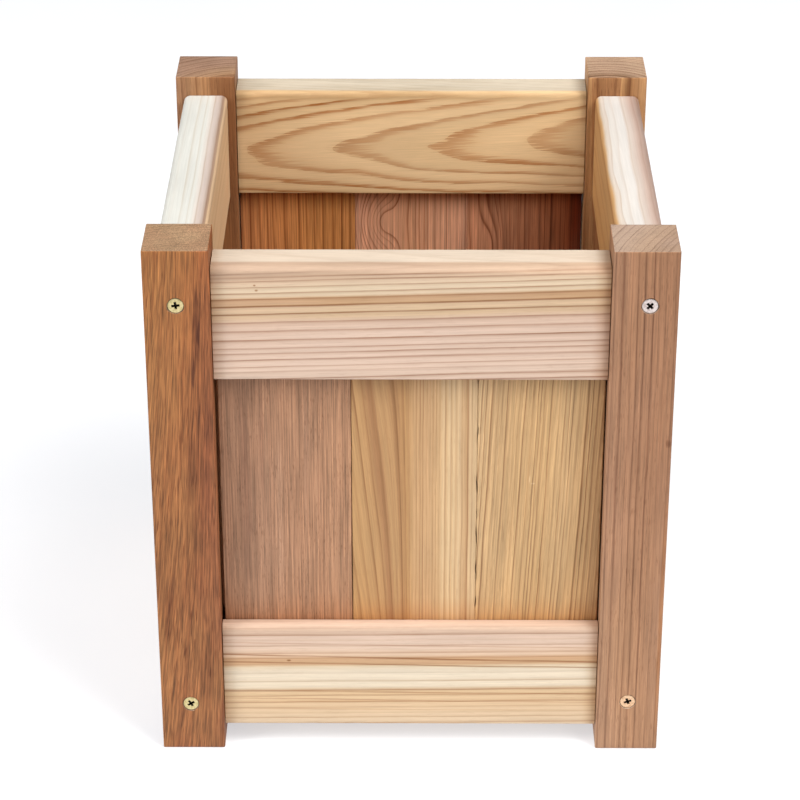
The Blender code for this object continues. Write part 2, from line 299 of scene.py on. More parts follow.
# =============================================================================
# materials
# =============================================================================
class Nodes:
    """Short names for building a shader tree."""

    def __init__(self, name):
        self.material = bpy.data.materials.new(name)
        self.material.use_nodes = True
        self.tree = self.material.node_tree
        self.tree.nodes.clear()
        self.out = self.tree.nodes.new("ShaderNodeOutputMaterial")
        self.shader = self.tree.nodes.new("ShaderNodeBsdfPrincipled")
        self.tree.links.new(self.shader.outputs[0], self.out.inputs[0])
        self.coords = self.tree.nodes.new("ShaderNodeTexCoord")

    def put(self, socket, value):
        if isinstance(value, bpy.types.NodeSocket):
            self.tree.links.new(value, socket)
        elif isinstance(value, (tuple, list)):
            if len(value) == 3 and len(socket.default_value) == 4:
                value = (*value, 1.0)
            socket.default_value = value
        else:
            socket.default_value = value

    def m(self, op, a, b=None, c=None, clamp=False):
        node = self.tree.nodes.new("ShaderNodeMath")
        node.operation = op
        node.use_clamp = clamp
        for k, value in enumerate((a, b, c)):
            if value is not None:
                self.put(node.inputs[k], value)
        return node.outputs[0]

    def add(self, a, b): return self.m("ADD", a, b)
    def sub(self, a, b): return self.m("SUBTRACT", a, b)
    def mul(self, a, b): return self.m("MULTIPLY", a, b)
    def mad(self, a, b, c): return self.m("MULTIPLY_ADD", a, b, c)

    def comb(self, x, y, z):
        node = self.tree.nodes.new("ShaderNodeCombineXYZ")
        for k, value in enumerate((x, y, z)):
            self.put(node.inputs[k], value)
        return node.outputs[0]

    def sep(self, vector):
        node = self.tree.nodes.new("ShaderNodeSeparateXYZ")
        self.put(node.inputs[0], vector)
        return node.outputs[0], node.outputs[1], node.outputs[2]

    def scale(self, vector, factors, offset=(0, 0, 0)):
        node = self.tree.nodes.new("ShaderNodeVectorMath")
        node.operation = "MULTIPLY_ADD"
        self.put(node.inputs[0], vector)
        self.put(node.inputs[1], tuple(factors))
        self.put(node.inputs[2], tuple(offset))
        return node.outputs[0]

    def noise(self, vector, detail=2.0, rough=0.5, colour=False, distortion=0.0):
        node = self.tree.nodes.new("ShaderNodeTexNoise")
        node.noise_dimensions = "3D"
        self.put(node.inputs["Vector"], vector)
        node.inputs["Scale"].default_value = 1.0
        node.inputs["Detail"].default_value = detail
        node.inputs["Roughness"].default_value = rough
        node.inputs["Distortion"].default_value = distortion
        return node.outputs["Color"] if colour else node.outputs["Fac"]

    def noise1(self, w, detail=1.0):
        node = self.tree.nodes.new("ShaderNodeTexNoise")
        node.noise_dimensions = "1D"
        self.put(node.inputs["W"], w)
        node.inputs["Scale"].default_value = 1.0
        node.inputs["Detail"].default_value = detail
        return node.outputs["Fac"]

    def white(self, w):
        node = self.tree.nodes.new("ShaderNodeTexWhiteNoise")
        node.noise_dimensions = "1D"
        self.put(node.inputs["W"], w)
        return node.outputs["Value"], node.outputs["Color"]

    def ramp(self, fac, stops, interpolation="LINEAR"):
        node = self.tree.nodes.new("ShaderNodeValToRGB")
        node.color_ramp.interpolation = interpolation
        items = node.color_ramp.elements
        stops = sorted(stops, key=lambda s: s[0])
        while len(items) < len(stops):
            items.new(0.5)
        for k, (at, value) in enumerate(stops):
            items[k].position = min(1.0, max(0.0, at))
            items[k].color = (*value, 1.0) if isinstance(value, (tuple, list)) else (value,) * 3 + (1.0,)
        self.put(node.inputs[0], fac)
        return node.outputs[0]

    def step(self, value, low, high, out_low=0.0, out_high=1.0, smooth=True):
        node = self.tree.nodes.new("ShaderNodeMapRange")
        node.interpolation_type = "SMOOTHSTEP" if smooth else "LINEAR"
        node.clamp = True
        self.put(node.inputs["Value"], value)
        node.inputs["From Min"].default_value = low
        node.inputs["From Max"].default_value = high
        node.inputs["To Min"].default_value = out_low
        node.inputs["To Max"].default_value = out_high
        return node.outputs["Result"]

    def mix(self, fac, a, b, blend="MIX"):
        node = self.tree.nodes.new("ShaderNodeMix")
        node.data_type = "RGBA"
        node.blend_type = blend
        node.clamp_factor = True
        self.put(node.inputs["Factor"], fac)
        self.put(node.inputs[6], a)
        self.put(node.inputs[7], b)
        return node.outputs[2]

    def tint(self, colour, fac):
        """Colour times a grey factor."""
        node = self.tree.nodes.new("ShaderNodeVectorMath")
        node.operation = "SCALE"
        self.put(node.inputs[0], colour)
        self.put(node.inputs["Scale"], fac)
        return node.outputs[0]

    def bump(self, height, distance, strength=1.0):
        node = self.tree.nodes.new("ShaderNodeBump")
        node.inputs["Distance"].default_value = distance
        node.inputs["Strength"].default_value = strength
        self.put(node.inputs["Height"], height)
        self.put(self.shader.inputs["Normal"], node.outputs[0])


# profile of one year's growth: pale early wood, darkening, a dark late line that
# ends sharply at the ring's outer side
RING_SOFT = ((0.0, 0.30), (0.07, 0.05), (0.30, 0.0), (0.62, 0.16), (0.80, 0.50),
             (0.90, 1.0), (0.965, 0.95), (1.0, 0.32))
RING_FINE = ((0.0, 0.25), (0.12, 0.02), (0.55, 0.05), (0.80, 0.45), (0.90, 1.0),
             (0.96, 0.9), (1.0, 0.28))
RING_FLAME = ((0.0, 0.22), (0.05, 0.0), (0.35, 0.0), (0.60, 0.14), (0.80, 0.62),
              (0.93, 1.0), (0.985, 0.92), (1.0, 0.24))


# broad dark bands with a sharp outer side
RING_BROAD = ((0.0, 0.16), (0.04, 0.0), (0.45, 0.0), (0.64, 0.18), (0.76, 0.75),
              (0.86, 1.0), (0.985, 0.95), (1.0, 0.20))
# thin dark lines on an even ground
RING_LINE = ((0.0, 0.10), (0.05, 0.0), (0.50, 0.03), (0.72, 0.14), (0.84, 0.55), (0.92, 1.0),
             (0.97, 0.85), (1.0, 0.25))


def wood(name, frame_axes, centre, seed, pith, tilt=(0.0, 0.0), ring=4.0, edges=None,
         face_b=0.0, base=None, late=(0.62, 0.50, 0.42), late_strength=(0.55, 1.0),
         profile=RING_SOFT, warp=(1.2, 0.35, 0.10), warp_run=170.0, knots=(), lean=None,
         mottle=0.08, streak=0.10, fibre=0.06, dashes=0.0, dash_size=(0.5, 7.0),
         hue=None, hue_amount=0.25, rough=0.62, spots=(), end=False, irregular=0.45,
         gain=1.0, cast=(1.0, 1.0, 1.0), run=(), cap=None, end_cast=None,
         sweep=None, fibre_run=46, accents=(), end_pith=None,
         feather=0.0, radii=None, body=None):
    """Procedural wood for one board.

    frame_axes says which world axes run across the face (a), into it (b) and
    along the grain (l). pith is the heart of the tree as (a, b) from the board's
    centre, tilt how it wanders per millimetre along the grain. edges gives ring
    boundaries as positions a on the show face, where the board has a figure of
    its own; otherwise rings are about ring wide. base is a list of
    (a, colour) across the show face. run is a list of (l, factor) that lightens
    or darkens the board along its length, cap = (a from, a to, colour) gives the
    outermost layer a colour of its own. sweep = (lean left, lean right, a from,
    a to) lets the grain lean more on one side of the board than on the other.
    accents are single strong lines as (a, half width, slope, strength, colour).
    feather breaks the inner side of the late wood up into fibres; radii gives ring
    boundaries as distances from the pith instead of edges. body = (b from, b to,
    base) is the colour of the board below its show face."""
    def toned(c):
        return tuple(p * q for p, q in zip(c, cast))

    base = [(q, toned(c)) for q, c in base]
    hue = toned(hue) if hue else None
    N = Nodes(name)
    x, y, z = N.sep(N.coords.outputs["Object"])
    world = {"x": x, "y": y, "z": z}
    at = {"x": centre[0], "y": centre[1], "z": centre[2]}
    a = N.mad(world[frame_axes[0]], 1000.0, -at[frame_axes[0]])
    b = N.mad(world[frame_axes[1]], 1000.0, -at[frame_axes[1]])
    l = N.mad(world[frame_axes[2]], 1000.0, -at[frame_axes[2]])
    v = N.comb(a, b, l)
    off = (seed * 3.17 % 50, seed * 7.31 % 50, seed * 1.93 % 50)

    # the grain wanders: slowly, then in small waves, then fibre by fibre
    w1, w2, w3 = warp
    s1 = N.sep(N.noise(N.scale(v, (1 / 42, 1 / 42, 1 / warp_run), off), 1.0, 0.5, True))
    s2 = N.sep(N.noise(N.scale(v, (1 / 9, 1 / 9, 1 / 42), off), 1.0, 0.5, True))
    s3 = N.noise(N.scale(v, (1 / 1.3, 1 / 1.3, 1 / 10), off), 1.0, 0.5)
    aw = N.mad(s1[0], 2 * w1, N.add(a, -w1))
    aw = N.mad(s2[0], 2 * w2, N.add(aw, -w2))
    aw = N.mad(s3, 2 * w3, N.add(aw, -w3))
    bw = N.mad(s1[1], 2 * w1, N.add(b, -w1))
    bw = N.mad(s2[1], 2 * w2, N.add(bw, -w2))
    a0, b0 = pith
    ta, tb = tilt
    if sweep:
        leaning = N.step(a, sweep[2], sweep[3], sweep[0], sweep[1])
        ar = N.sub(N.add(aw, -a0), N.mul(l, leaning))
    else:
        leaning = None
        ar = N.mad(l, -ta, N.add(aw, -a0))
    br = N.mad(l, -tb, N.add(bw, -b0))
    r = N.m("SQRT", N.mad(ar, ar, N.mul(br, br)))
    for ka, kl, ra, rl, push in knots:
        da = N.mul(N.add(a, -ka), 1 / ra)
        dl = N.mul(N.add(l, -kl), 1 / rl)
        hump = N.m("EXPONENT", N.mul(N.mad(da, da, N.mul(dl, dl)), -1.0))
        r = N.mad(hump, push, r)

    def reach(q):
        return math.hypot(q - a0, face_b - b0)

    # ring count
    if edges or radii:
        ordered = sorted(radii) if radii else sorted(reach(q) for q in edges)
        low, high = ordered[0], ordered[-1]
        node = N.tree.nodes.new("ShaderNodeFloatCurve")
        curve = node.mapping.curves[0]
        count = len(ordered) - 1
        spots_xy = [((q - low) / (high - low), k / count) for k, q in enumerate(ordered)]
        curve.points[0].location = spots_xy[0]
        curve.points[1].location = spots_xy[-1]
        for q in spots_xy[1:-1]:
            curve.points.new(*q)
        for p in curve.points:
            p.handle_type = "VECTOR"
        node.mapping.use_clip = False
        node.mapping.extend = "EXTRAPOLATED"
        node.mapping.update()
        N.put(node.inputs["Value"], N.mul(N.add(r, -low), 1 / (high - low)))
        phase = N.mad(node.outputs[0], float(count), 40.0)
    else:
        wander = N.noise1(N.mad(r, 1 / (ring * 2.7), seed * 5.1), 1.0)
        phase = N.mad(r, 1 / ring, N.mad(wander, 2.0 * irregular * 2, 40.0))
    part = N.m("FRACT", phase)
    index = N.m("FLOOR", phase)
    lot, lots = N.white(N.add(index, seed * 17.3))
    lot2 = N.sep(lots)[1]
    # late wood fades in and out along a ring
    fade = N.noise(N.scale(v, (1 / 14, 1 / 14, 1 / 70), (off[1], off[2], off[0])), 2.0, 0.6)
    power = N.mad(lot, late_strength[1] - late_strength[0], late_strength[0])
    power = N.mul(power, N.step(fade, 0.25, 0.75, 0.70, 1.12))

    # ground colour across the rings
    stops = sorted((reach(q), c) for q, c in base) if len(base) > 1 else None
    if stops:
        low, high = stops[0][0], stops[-1][0]
        t = N.mul(N.add(r, -low), 1 / (high - low))
        ground = N.ramp(t, [((q - low) / (high - low), c) for q, c in stops])
    else:
        ground = N.mix(0.0, tuple(base[0][1]), (0, 0, 0))
    if body:
        inner = sorted((reach(q), toned(c)) for q, c in body[2])
        low, high = inner[0][0], inner[-1][0]
        t = N.mul(N.add(r, -low), 1 / (high - low))
        below = N.ramp(t, [((q - low) / (high - low), c) for q, c in inner])
        depth = N.mad(N.noise(N.scale(v, (1 / 9, 1 / 9, 1 / 60), (off[2], off[1], off[0])), 2.0, 0.6), 5.0, bw)
        ground = N.mix(N.step(depth, body[0] + 2.5, body[1] + 2.5), below, ground)
    if hue:
        drift = N.noise(N.scale(v, (1 / 30, 1 / 30, 1 / 120), (off[2], off[0], off[1])), 2.0, 0.55)
        ground = N.mix(N.step(drift, 0.42, 0.68, 0.0, hue_amount), ground, tuple(hue))

    if cap:
        capped = N.step(aw, cap[0], cap[1])
        if len(cap) > 3:
            capped = N.mul(capped, N.step(bw, cap[3], cap[4]))
        ground = N.mix(capped, ground, toned(cap[2]))
    # run multiplies the ground colour along the grain: tone along a board, and on the front rails and front slats
    # painted shade at their ends
    if run:
        first, last = run[0][0], run[-1][0]
        along = N.mad(s2[0], 8.0, N.add(l, -4.0))
        t = N.mul(N.add(along, -first), 1 / (last - first))
        ground = N.mix(1.0, ground, N.ramp(t, [((q - first) / (last - first), c) for q, c in run]), "MULTIPLY")

    # fibres lean with the rings
    tilt_a = ta if lean is None else lean
    al = N.sub(a, N.mul(l, leaning)) if sweep else N.mad(l, -tilt_a, a)
    vf = N.comb(al, b, l)
    if end:
        fib = N.noise(N.scale(v, (1 / 0.55, 1 / 0.55, 1 / 0.55), off), 3.0, 0.6)
        fine = N.noise(N.scale(v, (1 / 0.22, 1 / 0.22, 1 / 0.22), off), 2.0, 0.6)
        sawn = N.noise(N.scale(N.comb(N.mad(b, 0.55, a), N.mad(a, -0.55, b), l),
                               (1 / 11.0, 1 / 0.75, 1 / 9.0), off), 2.0, 0.55)
    else:
        fib = N.noise(N.scale(vf, (1 / 0.85, 1 / 0.85, 1 / fibre_run), off), 3.0, 0.6)
        fine = N.noise(N.scale(vf, (1 / 0.30, 1 / 0.30, 1 / 12), (off[2], off[1], off[0])), 2.0, 0.6)
        sawn = None
    cloud = N.noise(N.scale(vf, (1 / 20, 1 / 20, 1 / 75), (off[1], off[0], off[2])), 3.0, 0.55)
    tone = N.mad(cloud, 2 * mottle * 1.6, 1.0 - mottle * 1.6)
    tone = N.mul(tone, N.mad(fib, 2 * streak * 1.6, 1.0 - streak * 1.6))
    tone = N.mul(tone, N.mad(fine, 2 * fibre * 1.6, 1.0 - fibre * 1.6))
    tone = N.mul(tone, N.mad(lot2, 0.06, 0.97))
    if sawn is not None:
        tone = N.mul(tone, N.mad(sawn, 0.26, 0.87))
    tone = N.mul(tone, gain)

    colour = N.tint(ground, tone)
    if feather:
        part = N.m("MINIMUM", N.mad(fib, feather, N.add(part, -0.5 * feather)), 0.999)
    late_at = N.ramp(part, profile)
    amount = N.mul(N.mul(late_at, power), N.mad(fine, 0.5, 0.75))
    if cap:
        amount = N.mul(amount, N.step(aw, cap[0] - 3.0, cap[0], 1.0, 0.2))
    dark = N.mix(1.0, colour, tuple(late), "MULTIPLY")
    colour = N.mix(amount, colour, dark)

    for qa, half, slope, strength, factor in accents:
        d = N.mul(N.add(N.mad(l, -slope, aw), -qa), 1 / half)
        line = N.m("EXPONENT", N.mul(N.mul(d, d), -1.0))
        line = N.mul(N.mul(line, strength), N.step(fade, 0.30, 0.62, 0.55, 1.0))
        colour = N.mix(line, colour, N.mix(1.0, colour, tuple(factor), "MULTIPLY"))

    # short dark resin and pore dashes
    if dashes and not end:
        dn = N.noise(N.scale(vf, (1 / dash_size[0], 1 / dash_size[0], 1 / dash_size[1]),
                             (off[0] + 9, off[1], off[2])), 1.0, 0.5)
        area = N.noise(N.scale(vf, (1 / 9, 1 / 9, 1 / 34), (off[0], off[1] + 9, off[2])), 1.0, 0.5)
        dash = N.mul(N.step(dn, 0.56, 0.68), N.step(area, 0.35, 0.62, 0.25, 1.0))
        deep = N.mix(1.0, colour, (0.48, 0.36, 0.28), "MULTIPLY")
        colour = N.mix(N.mul(dash, dashes), colour, deep)
    elif end:
        pore = N.noise(N.scale(v, (1 / 0.42, 1 / 0.42, 1 / 2.0), (off[0] + 9, off[1], off[2])), 1.0, 0.5)
        colour = N.mix(N.mul(N.step(pore, 0.58, 0.72), 0.35),
                       colour, N.mix(1.0, colour, (0.5, 0.42, 0.36), "MULTIPLY"))

    # listed marks on the show face: pits, stains and pale patches
    for sa, sl, ra, rl, factor in spots:
        here = tilt_a
        if sweep:
            t = min(1.0, max(0.0, (sa - sweep[2]) / (sweep[3] - sweep[2])))
            here = sweep[0] + (sweep[1] - sweep[0]) * t * t * (3 - 2 * t)
        da = N.mul(N.add(al, -(sa - here * sl)), 1 / ra)
        dl = N.mul(N.add(l, -sl), 1 / rl)
        d = N.mad(s3, 0.8, N.mad(da, da, N.mul(dl, dl)))
        mark = N.step(d, 0.35, 1.35, 1.0, 0.0)
        colour = N.mix(mark, colour, N.mix(1.0, colour, tuple(factor), "MULTIPLY"))

    N.put(N.shader.inputs["Base Color"], colour)
    shine = N.mad(fine, 0.16, rough - 0.08)
    shine = N.mad(amount, -0.06, shine)
    N.put(N.shader.inputs["Roughness"], shine)
    N.shader.inputs["Specular IOR Level"].default_value = 0.28
    height = N.mad(fib, 0.5, N.mad(fine, 0.5, N.mul(amount, 0.35)))
    if sawn is not None:
        height = N.mad(sawn, 0.9, height)
    N.bump(height, 0.00032 if end else 0.00020, 0.55 if not end else 0.8)
    return N.material


def metal(name, colour, tarnish, rough=0.30, seed=1, metallic=1.0, sunk=False):
    """Plated steel: fine turning marks, small blotches and a duller film. With sunk, the colour goes near black below
    the rim and in the recess: painted shade.
    """
    N = Nodes(name)
    v = N.coords.outputs["Object"]
    x, y, z = N.sep(v)
    mm = N.scale(v, (1000, 1000, 1000))
    off = (seed * 3.3, seed * 1.7, seed * 5.9)
    blot = N.noise(N.scale(mm, (1 / 1.6, 1 / 1.6, 1 / 1.6), off), 3.0, 0.6)
    grit = N.noise(N.scale(mm, (1 / 0.25, 1 / 0.25, 1 / 0.25), off), 2.0, 0.6)
    radius = N.m("SQRT", N.add(N.mul(x, x), N.mul(y, y)))
    lines = N.noise1(N.mul(radius, 1000 / 0.16), 1.0)
    colour_at = N.mix(N.step(blot, 0.38, 0.66), tuple(colour), tuple(tarnish))
    colour_at = N.tint(colour_at, N.mad(grit, 0.25, 0.875))
    if sunk:
        # painted shade: below the rim and down in the recess the colour goes near black, for the shadow in the cross
        # recess and round the head
        depth = N.m("MULTIPLY", z, 1000.0)
        colour_at = N.mix(N.step(depth, -0.75, -0.16), (0.035, 0.028, 0.02), colour_at)
    N.put(N.shader.inputs["Base Color"], colour_at)
    N.shader.inputs["Metallic"].default_value = metallic
    N.put(N.shader.inputs["Roughness"], N.mad(blot, 0.22, N.mad(lines, 0.08, rough - 0.12)))
    N.bump(N.mad(lines, 0.4, N.mul(grit, 0.6)), 0.00005, 0.6)
    return N.material


# =============================================================================
# boards
# =============================================================================
def centre_of(node):
    low, high = mm_box(node)
    return [(p + q) / 2 for p, q in zip(low, high)]


CREAM = (0.86, 0.70, 0.50)
PEACH = (0.82, 0.58, 0.38)
TAN = (0.70, 0.45, 0.24)
PINK = (0.78, 0.52, 0.37)
SAP = (0.90, 0.86, 0.74)

BOARDS = {}       # node -> (side material settings, end material settings)


def figure(node, axes, **settings):
    BOARDS[node] = (axes, settings)


# ---- posts: a = x, b = y (front face at b = -19.05), l = z ---------------------
figure("post_front_left", "xyz", seed=11, pith=(-90, -60), tilt=(0.06, 0.010), ring=4.2,
       face_b=-19, base=[(-19, (0.50, 0.215, 0.085)), (-6, (0.53, 0.23, 0.09)),
                         (4, (0.47, 0.19, 0.075)), (10, (0.42, 0.16, 0.068)), (19, (0.44, 0.175, 0.08))],
       late=(0.46, 0.32, 0.25), late_strength=(0.15, 0.65), warp=(2.2, 0.9, 0.20), warp_run=70,
       sweep=(0.10, 0.04, -19, 19), dashes=1.0, dash_size=(0.45, 15.0), streak=0.88, mottle=0.20,
       fibre=0.16, fibre_run=26, end_pith=(8, -170), hue=(0.56, 0.28, 0.11), hue_amount=0.6, rough=0.60, end_cast=(1.12, 1.735, 3.28),
       run=[(-169, (0.95, 0.95, 0.96)), (20, (0.92, 0.92, 0.90)), (100, (0.95, 0.95, 0.87)),
            (169, (1.05, 1.06, 0.90))],
       spots=[(10.8, 122, 3.2, 34, (0.52, 0.44, 0.42)), (8.2, 92, 1.3, 16, (0.36, 0.28, 0.32)),
              (12.0, 118, 0.9, 12, (0.50, 0.42, 0.44)), (-11, 0, 6.0, 90, (0.86, 0.82, 0.80)),
              (4.5, 26, 4.0, 30, (0.72, 0.66, 0.66)), (-12, -70, 4.5, 26, (0.74, 0.68, 0.64)),
              (9, -110, 5.0, 34, (0.78, 0.72, 0.70)), (15, 40, 3.2, 60, (0.80, 0.76, 0.78))])
figure("post_front_right", "xyz", seed=23, pith=(130, -75), tilt=(0.0, 0.0), end_pith=(150, -75),
       face_b=-19, edges=[-26, -22, -18, -13, -8, -4.6, -0.3, 4.5, 7.3, 11.0, 16.6, 21.5, 27],
       base=[(-19, (0.55, 0.30, 0.18)), (-4, (0.52, 0.27, 0.15)), (6, (0.51, 0.26, 0.145)),
             (19, (0.49, 0.25, 0.14))],
       late=(0.36, 0.24, 0.19), late_strength=(0.12, 0.72), warp=(0.8, 0.45, 0.12), warp_run=120,
       accents=[(-0.4, 0.42, 0.0, 0.75, (0.36, 0.25, 0.20)), (4.4, 0.36, 0.0, 0.65, (0.38, 0.26, 0.22)),
                (-13.2, 0.34, 0.0, 0.55, (0.42, 0.30, 0.26))],
       spots=[(17.6, -75, 1.6, 110, (1.12, 1.00, 0.82)), (17.0, 46, 2.2, 3.5, (0.62, 0.52, 0.46))],
       profile=RING_LINE, dashes=0.45, streak=0.34, mottle=0.12, fibre=0.12,
       hue=(0.56, 0.30, 0.19), hue_amount=0.4, end_cast=(1.36, 1.85, 2.47),
       run=[(-169, (1.14, 1.20, 1.22)), (-60, (1.06, 1.08, 1.08)), (30, (0.95, 0.93, 0.92)),
            (169, (0.88, 0.85, 0.82))])
figure("post_rear_left", "xyz", seed=31, pith=(26, -52), tilt=(-0.012, 0.01), ring=4.4,
       face_b=-19, base=[(-19, (0.52, 0.29, 0.18)), (2, (0.60, 0.33, 0.17)), (10, (0.52, 0.26, 0.12)),
                         (19, (0.42, 0.19, 0.085))],
       late=(0.42, 0.28, 0.20), streak=0.34, mottle=0.12, late_strength=(0.5, 1.0), dashes=0.5, hue=(0.5, 0.26, 0.15), end_cast=(1.13, 1.33, 1.72))
figure("post_rear_right", "xyz", seed=37, pith=(-8, -44), tilt=(0.004, 0.01), ring=4.0,
       face_b=-19, base=[(-19, (0.38, 0.18, 0.08)), (-12, (0.50, 0.25, 0.125)), (-4, (0.70, 0.40, 0.21)),
                         (19, (0.76, 0.45, 0.25))],
       late=(0.42, 0.28, 0.20), streak=0.34, mottle=0.12, late_strength=(0.5, 1.0), dashes=0.5, hue=(0.5, 0.26, 0.15), end_cast=(0.96, 1.17, 1.74))

# ---- front and rear rails: a = z, b = y, l = x ---------------------------------
figure("upper_rail_front", "zyx", seed=41, pith=(-175, 34), tilt=(0.0300, 0.0), face_b=-14,
       edges=[48, 35.0, 32.4, 30.2, 26.4, 22.6, 18.6, 14.0, 9.4, 4.0, -1.6, -7.4, -12.8, -16.0, -20.2,
              -24.6, -27.6, -32.4, -36, -41],
       base=[(42, (0.62, 0.44, 0.31)), (34.5, (0.62, 0.44, 0.30)), (31, (0.74, 0.53, 0.36)),
             (28.4, (0.84, 0.63, 0.43)), (25, (0.88, 0.71, 0.49)), (20.2, (0.87, 0.69, 0.47)),
             (18.4, (0.66, 0.41, 0.215)), (14.2, (0.68, 0.43, 0.23)), (12.6, (0.80, 0.58, 0.36)),
             (6.4, (0.79, 0.57, 0.35)), (3.4, (0.80, 0.58, 0.43)), (-4, (0.85, 0.64, 0.50)), (-18, (0.85, 0.64, 0.50)),
             (-30, (0.87, 0.66, 0.51)), (-36, (0.85, 0.63, 0.48))],
       cap=(34.2, 35.2, (0.84, 0.70, 0.54), -7.5, -4.5),
       accents=[(13.9, 0.55, 0.030, 0.85, (0.46, 0.29, 0.17)), (8.8, 0.45, 0.030, 0.75, (0.50, 0.34, 0.22)),
                (32.2, 0.50, 0.024, 0.55, (0.60, 0.44, 0.32)), (29.6, 0.42, 0.026, 0.50, (0.62, 0.46, 0.34)),
                (18.6, 0.45, 0.030, 0.55, (0.60, 0.44, 0.30)),
                (-20.2, 0.45, 0.032, 0.60, (0.56, 0.42, 0.33)), (-32.4, 0.40, 0.034, 0.50, (0.60, 0.46, 0.36))],
       # painted shade: run darkens both ends of the rail beside the posts, the right end more and warmer, for the
       # posts' shadows
       run=[(-114, (0.95, 0.88, 0.80)), (-106, (1.0, 0.99, 0.98)), (0, (1.0, 1.0, 1.0)),
            (104, (1.0, 0.99, 0.98)), (114, (0.80, 0.66, 0.54))],
       late=(0.44, 0.28, 0.18), late_strength=(0.20, 0.90), warp=(0.7, 0.30, 0.08),
       warp_run=200, streak=0.11, mottle=0.05, fibre=0.05, hue=(0.82, 0.58, 0.42), hue_amount=0.2,
       spots=[(24.6, -89, 0.8, 1.0, (0.50, 0.34, 0.22)), (21.4, -88, 0.9, 1.3, (0.55, 0.38, 0.26))], dashes=0.12)
figure("lower_rail_front", "zyx", seed=47, pith=(190, 40), tilt=(0.012, 0.0), face_b=-14,
       edges=[38, 34, 29, 25.4, 21.4, 16, 12.4, 8.2, 1.4, -4.6, -11.2, -14.8, -19.6, -23.4, -27.4, -30.6, -35, -40],
       base=[(38, (0.72, 0.50, 0.37)), (32.5, (0.73, 0.52, 0.38)), (28, (0.80, 0.59, 0.46)), (22, (0.84, 0.63, 0.49)),
             (14.4, (0.84, 0.60, 0.42)), (12.6, (0.70, 0.43, 0.24)), (8.0, (0.72, 0.46, 0.26)), (6.4, (0.86, 0.69, 0.48)),
             (3, (0.93, 0.80, 0.62)), (-8, (0.91, 0.77, 0.58)), (-11.4, (0.80, 0.57, 0.34)),
             (-20, (0.84, 0.60, 0.37)), (-28, (0.86, 0.64, 0.42)), (-36, (0.88, 0.67, 0.46))],
       accents=[(12.1, 0.55, -0.022, 0.90, (0.46, 0.29, 0.17)), (7.4, 0.50, -0.016, 0.85, (0.46, 0.29, 0.18)),
                (-12.6, 0.50, -0.010, 0.70, (0.56, 0.38, 0.24)), (-18.4, 0.42, -0.012, 0.60, (0.58, 0.40, 0.27)),
                (-25.0, 0.45, -0.004, 0.50, (0.62, 0.45, 0.31)), (21.6, 0.50, -0.014, 0.50, (0.66, 0.50, 0.40))],
       # painted shade: run darkens both ends of the rail beside the posts, the right end more and warmer, for the
       # posts' shadows
       run=[(-114, (0.96, 0.90, 0.84)), (-106, (1.0, 0.99, 0.98)), (0, (1.0, 1.0, 1.0)),
            (106, (1.0, 0.99, 0.98)), (114, (0.90, 0.80, 0.70))],
       late=(0.50, 0.34, 0.22), late_strength=(0.20, 0.75), warp=(0.8, 0.35, 0.09),
       warp_run=150, streak=0.11, mottle=0.05, fibre=0.05, dashes=0.12,
       spots=[(10.6, -74, 0.9, 1.8, (0.5, 0.34, 0.22))])
figure("upper_rail_rear", "zyx", seed=53, pith=(-1.5, 36.0), tilt=(0.050, -0.058),
       radii=[38.6, 42.2, 46.0, 49.35, 52.3, 55.9, 59.2, 62.5, 65.6, 68.6, 71.8],
       face_b=-14, base=[(0, (0.77, 0.53, 0.29)), (14, (0.79, 0.55, 0.31)), (27, (0.77, 0.53, 0.295)),
                         (34, (0.70, 0.47, 0.25)), (44, (0.68, 0.45, 0.24))],
       accents=[(33.2, 2.3, 0.0, 1.0, (0.62, 0.56, 0.47))],
       profile=RING_BROAD, late=(0.54, 0.31, 0.16), late_strength=(0.60, 1.0), warp=(1.6, 0.6, 0.30),
       warp_run=120, feather=0.9, streak=0.13, mottle=0.06, fibre=0.07,
       cap=(32.2, 34.4, (0.66, 0.57, 0.455), -11.5, -8.5))
figure("lower_rail_rear", "zyx", seed=59, pith=(160, 30), tilt=(0.01, 0.0), face_b=14, ring=4.6,
       base=[(-36, (0.83, 0.62, 0.41)), (0, (0.86, 0.68, 0.47)), (36, (0.80, 0.58, 0.40))],
       late=(0.62, 0.46, 0.34), late_strength=(0.35, 1.0), streak=0.12, mottle=0.07, dashes=0.10)

# ---- side rails: a = z, b = x, l = y -------------------------------------------
figure("upper_rail_left", "xzy", seed=61, pith=(150, -60), tilt=(0.004, 0.0), face_b=36, ring=5.5,
       base=[(-16, (0.88, 0.85, 0.75)), (3.6, (0.90, 0.87, 0.77)), (5.6, (0.88, 0.79, 0.68)),
             (8.0, (0.84, 0.71, 0.62)), (10.2, (0.72, 0.56, 0.46)), (11.8, (0.56, 0.40, 0.30)),
             (13.4, (0.58, 0.38, 0.25)), (14.6, (1.02, 0.70, 0.42)), (24, (1.14, 0.75, 0.41))],
       body=(25, 31, [(-30, (1.00, 0.69, 0.44)), (-10, (0.98, 0.66, 0.41)), (2, (0.88, 0.57, 0.35)),
                      (11, (0.98, 0.67, 0.42)), (15, (1.14, 0.76, 0.42)), (50, (1.12, 0.74, 0.41))]),
       late=(0.74, 0.60, 0.48), late_strength=(0.15, 0.75), streak=0.09, mottle=0.06, fibre=0.05)
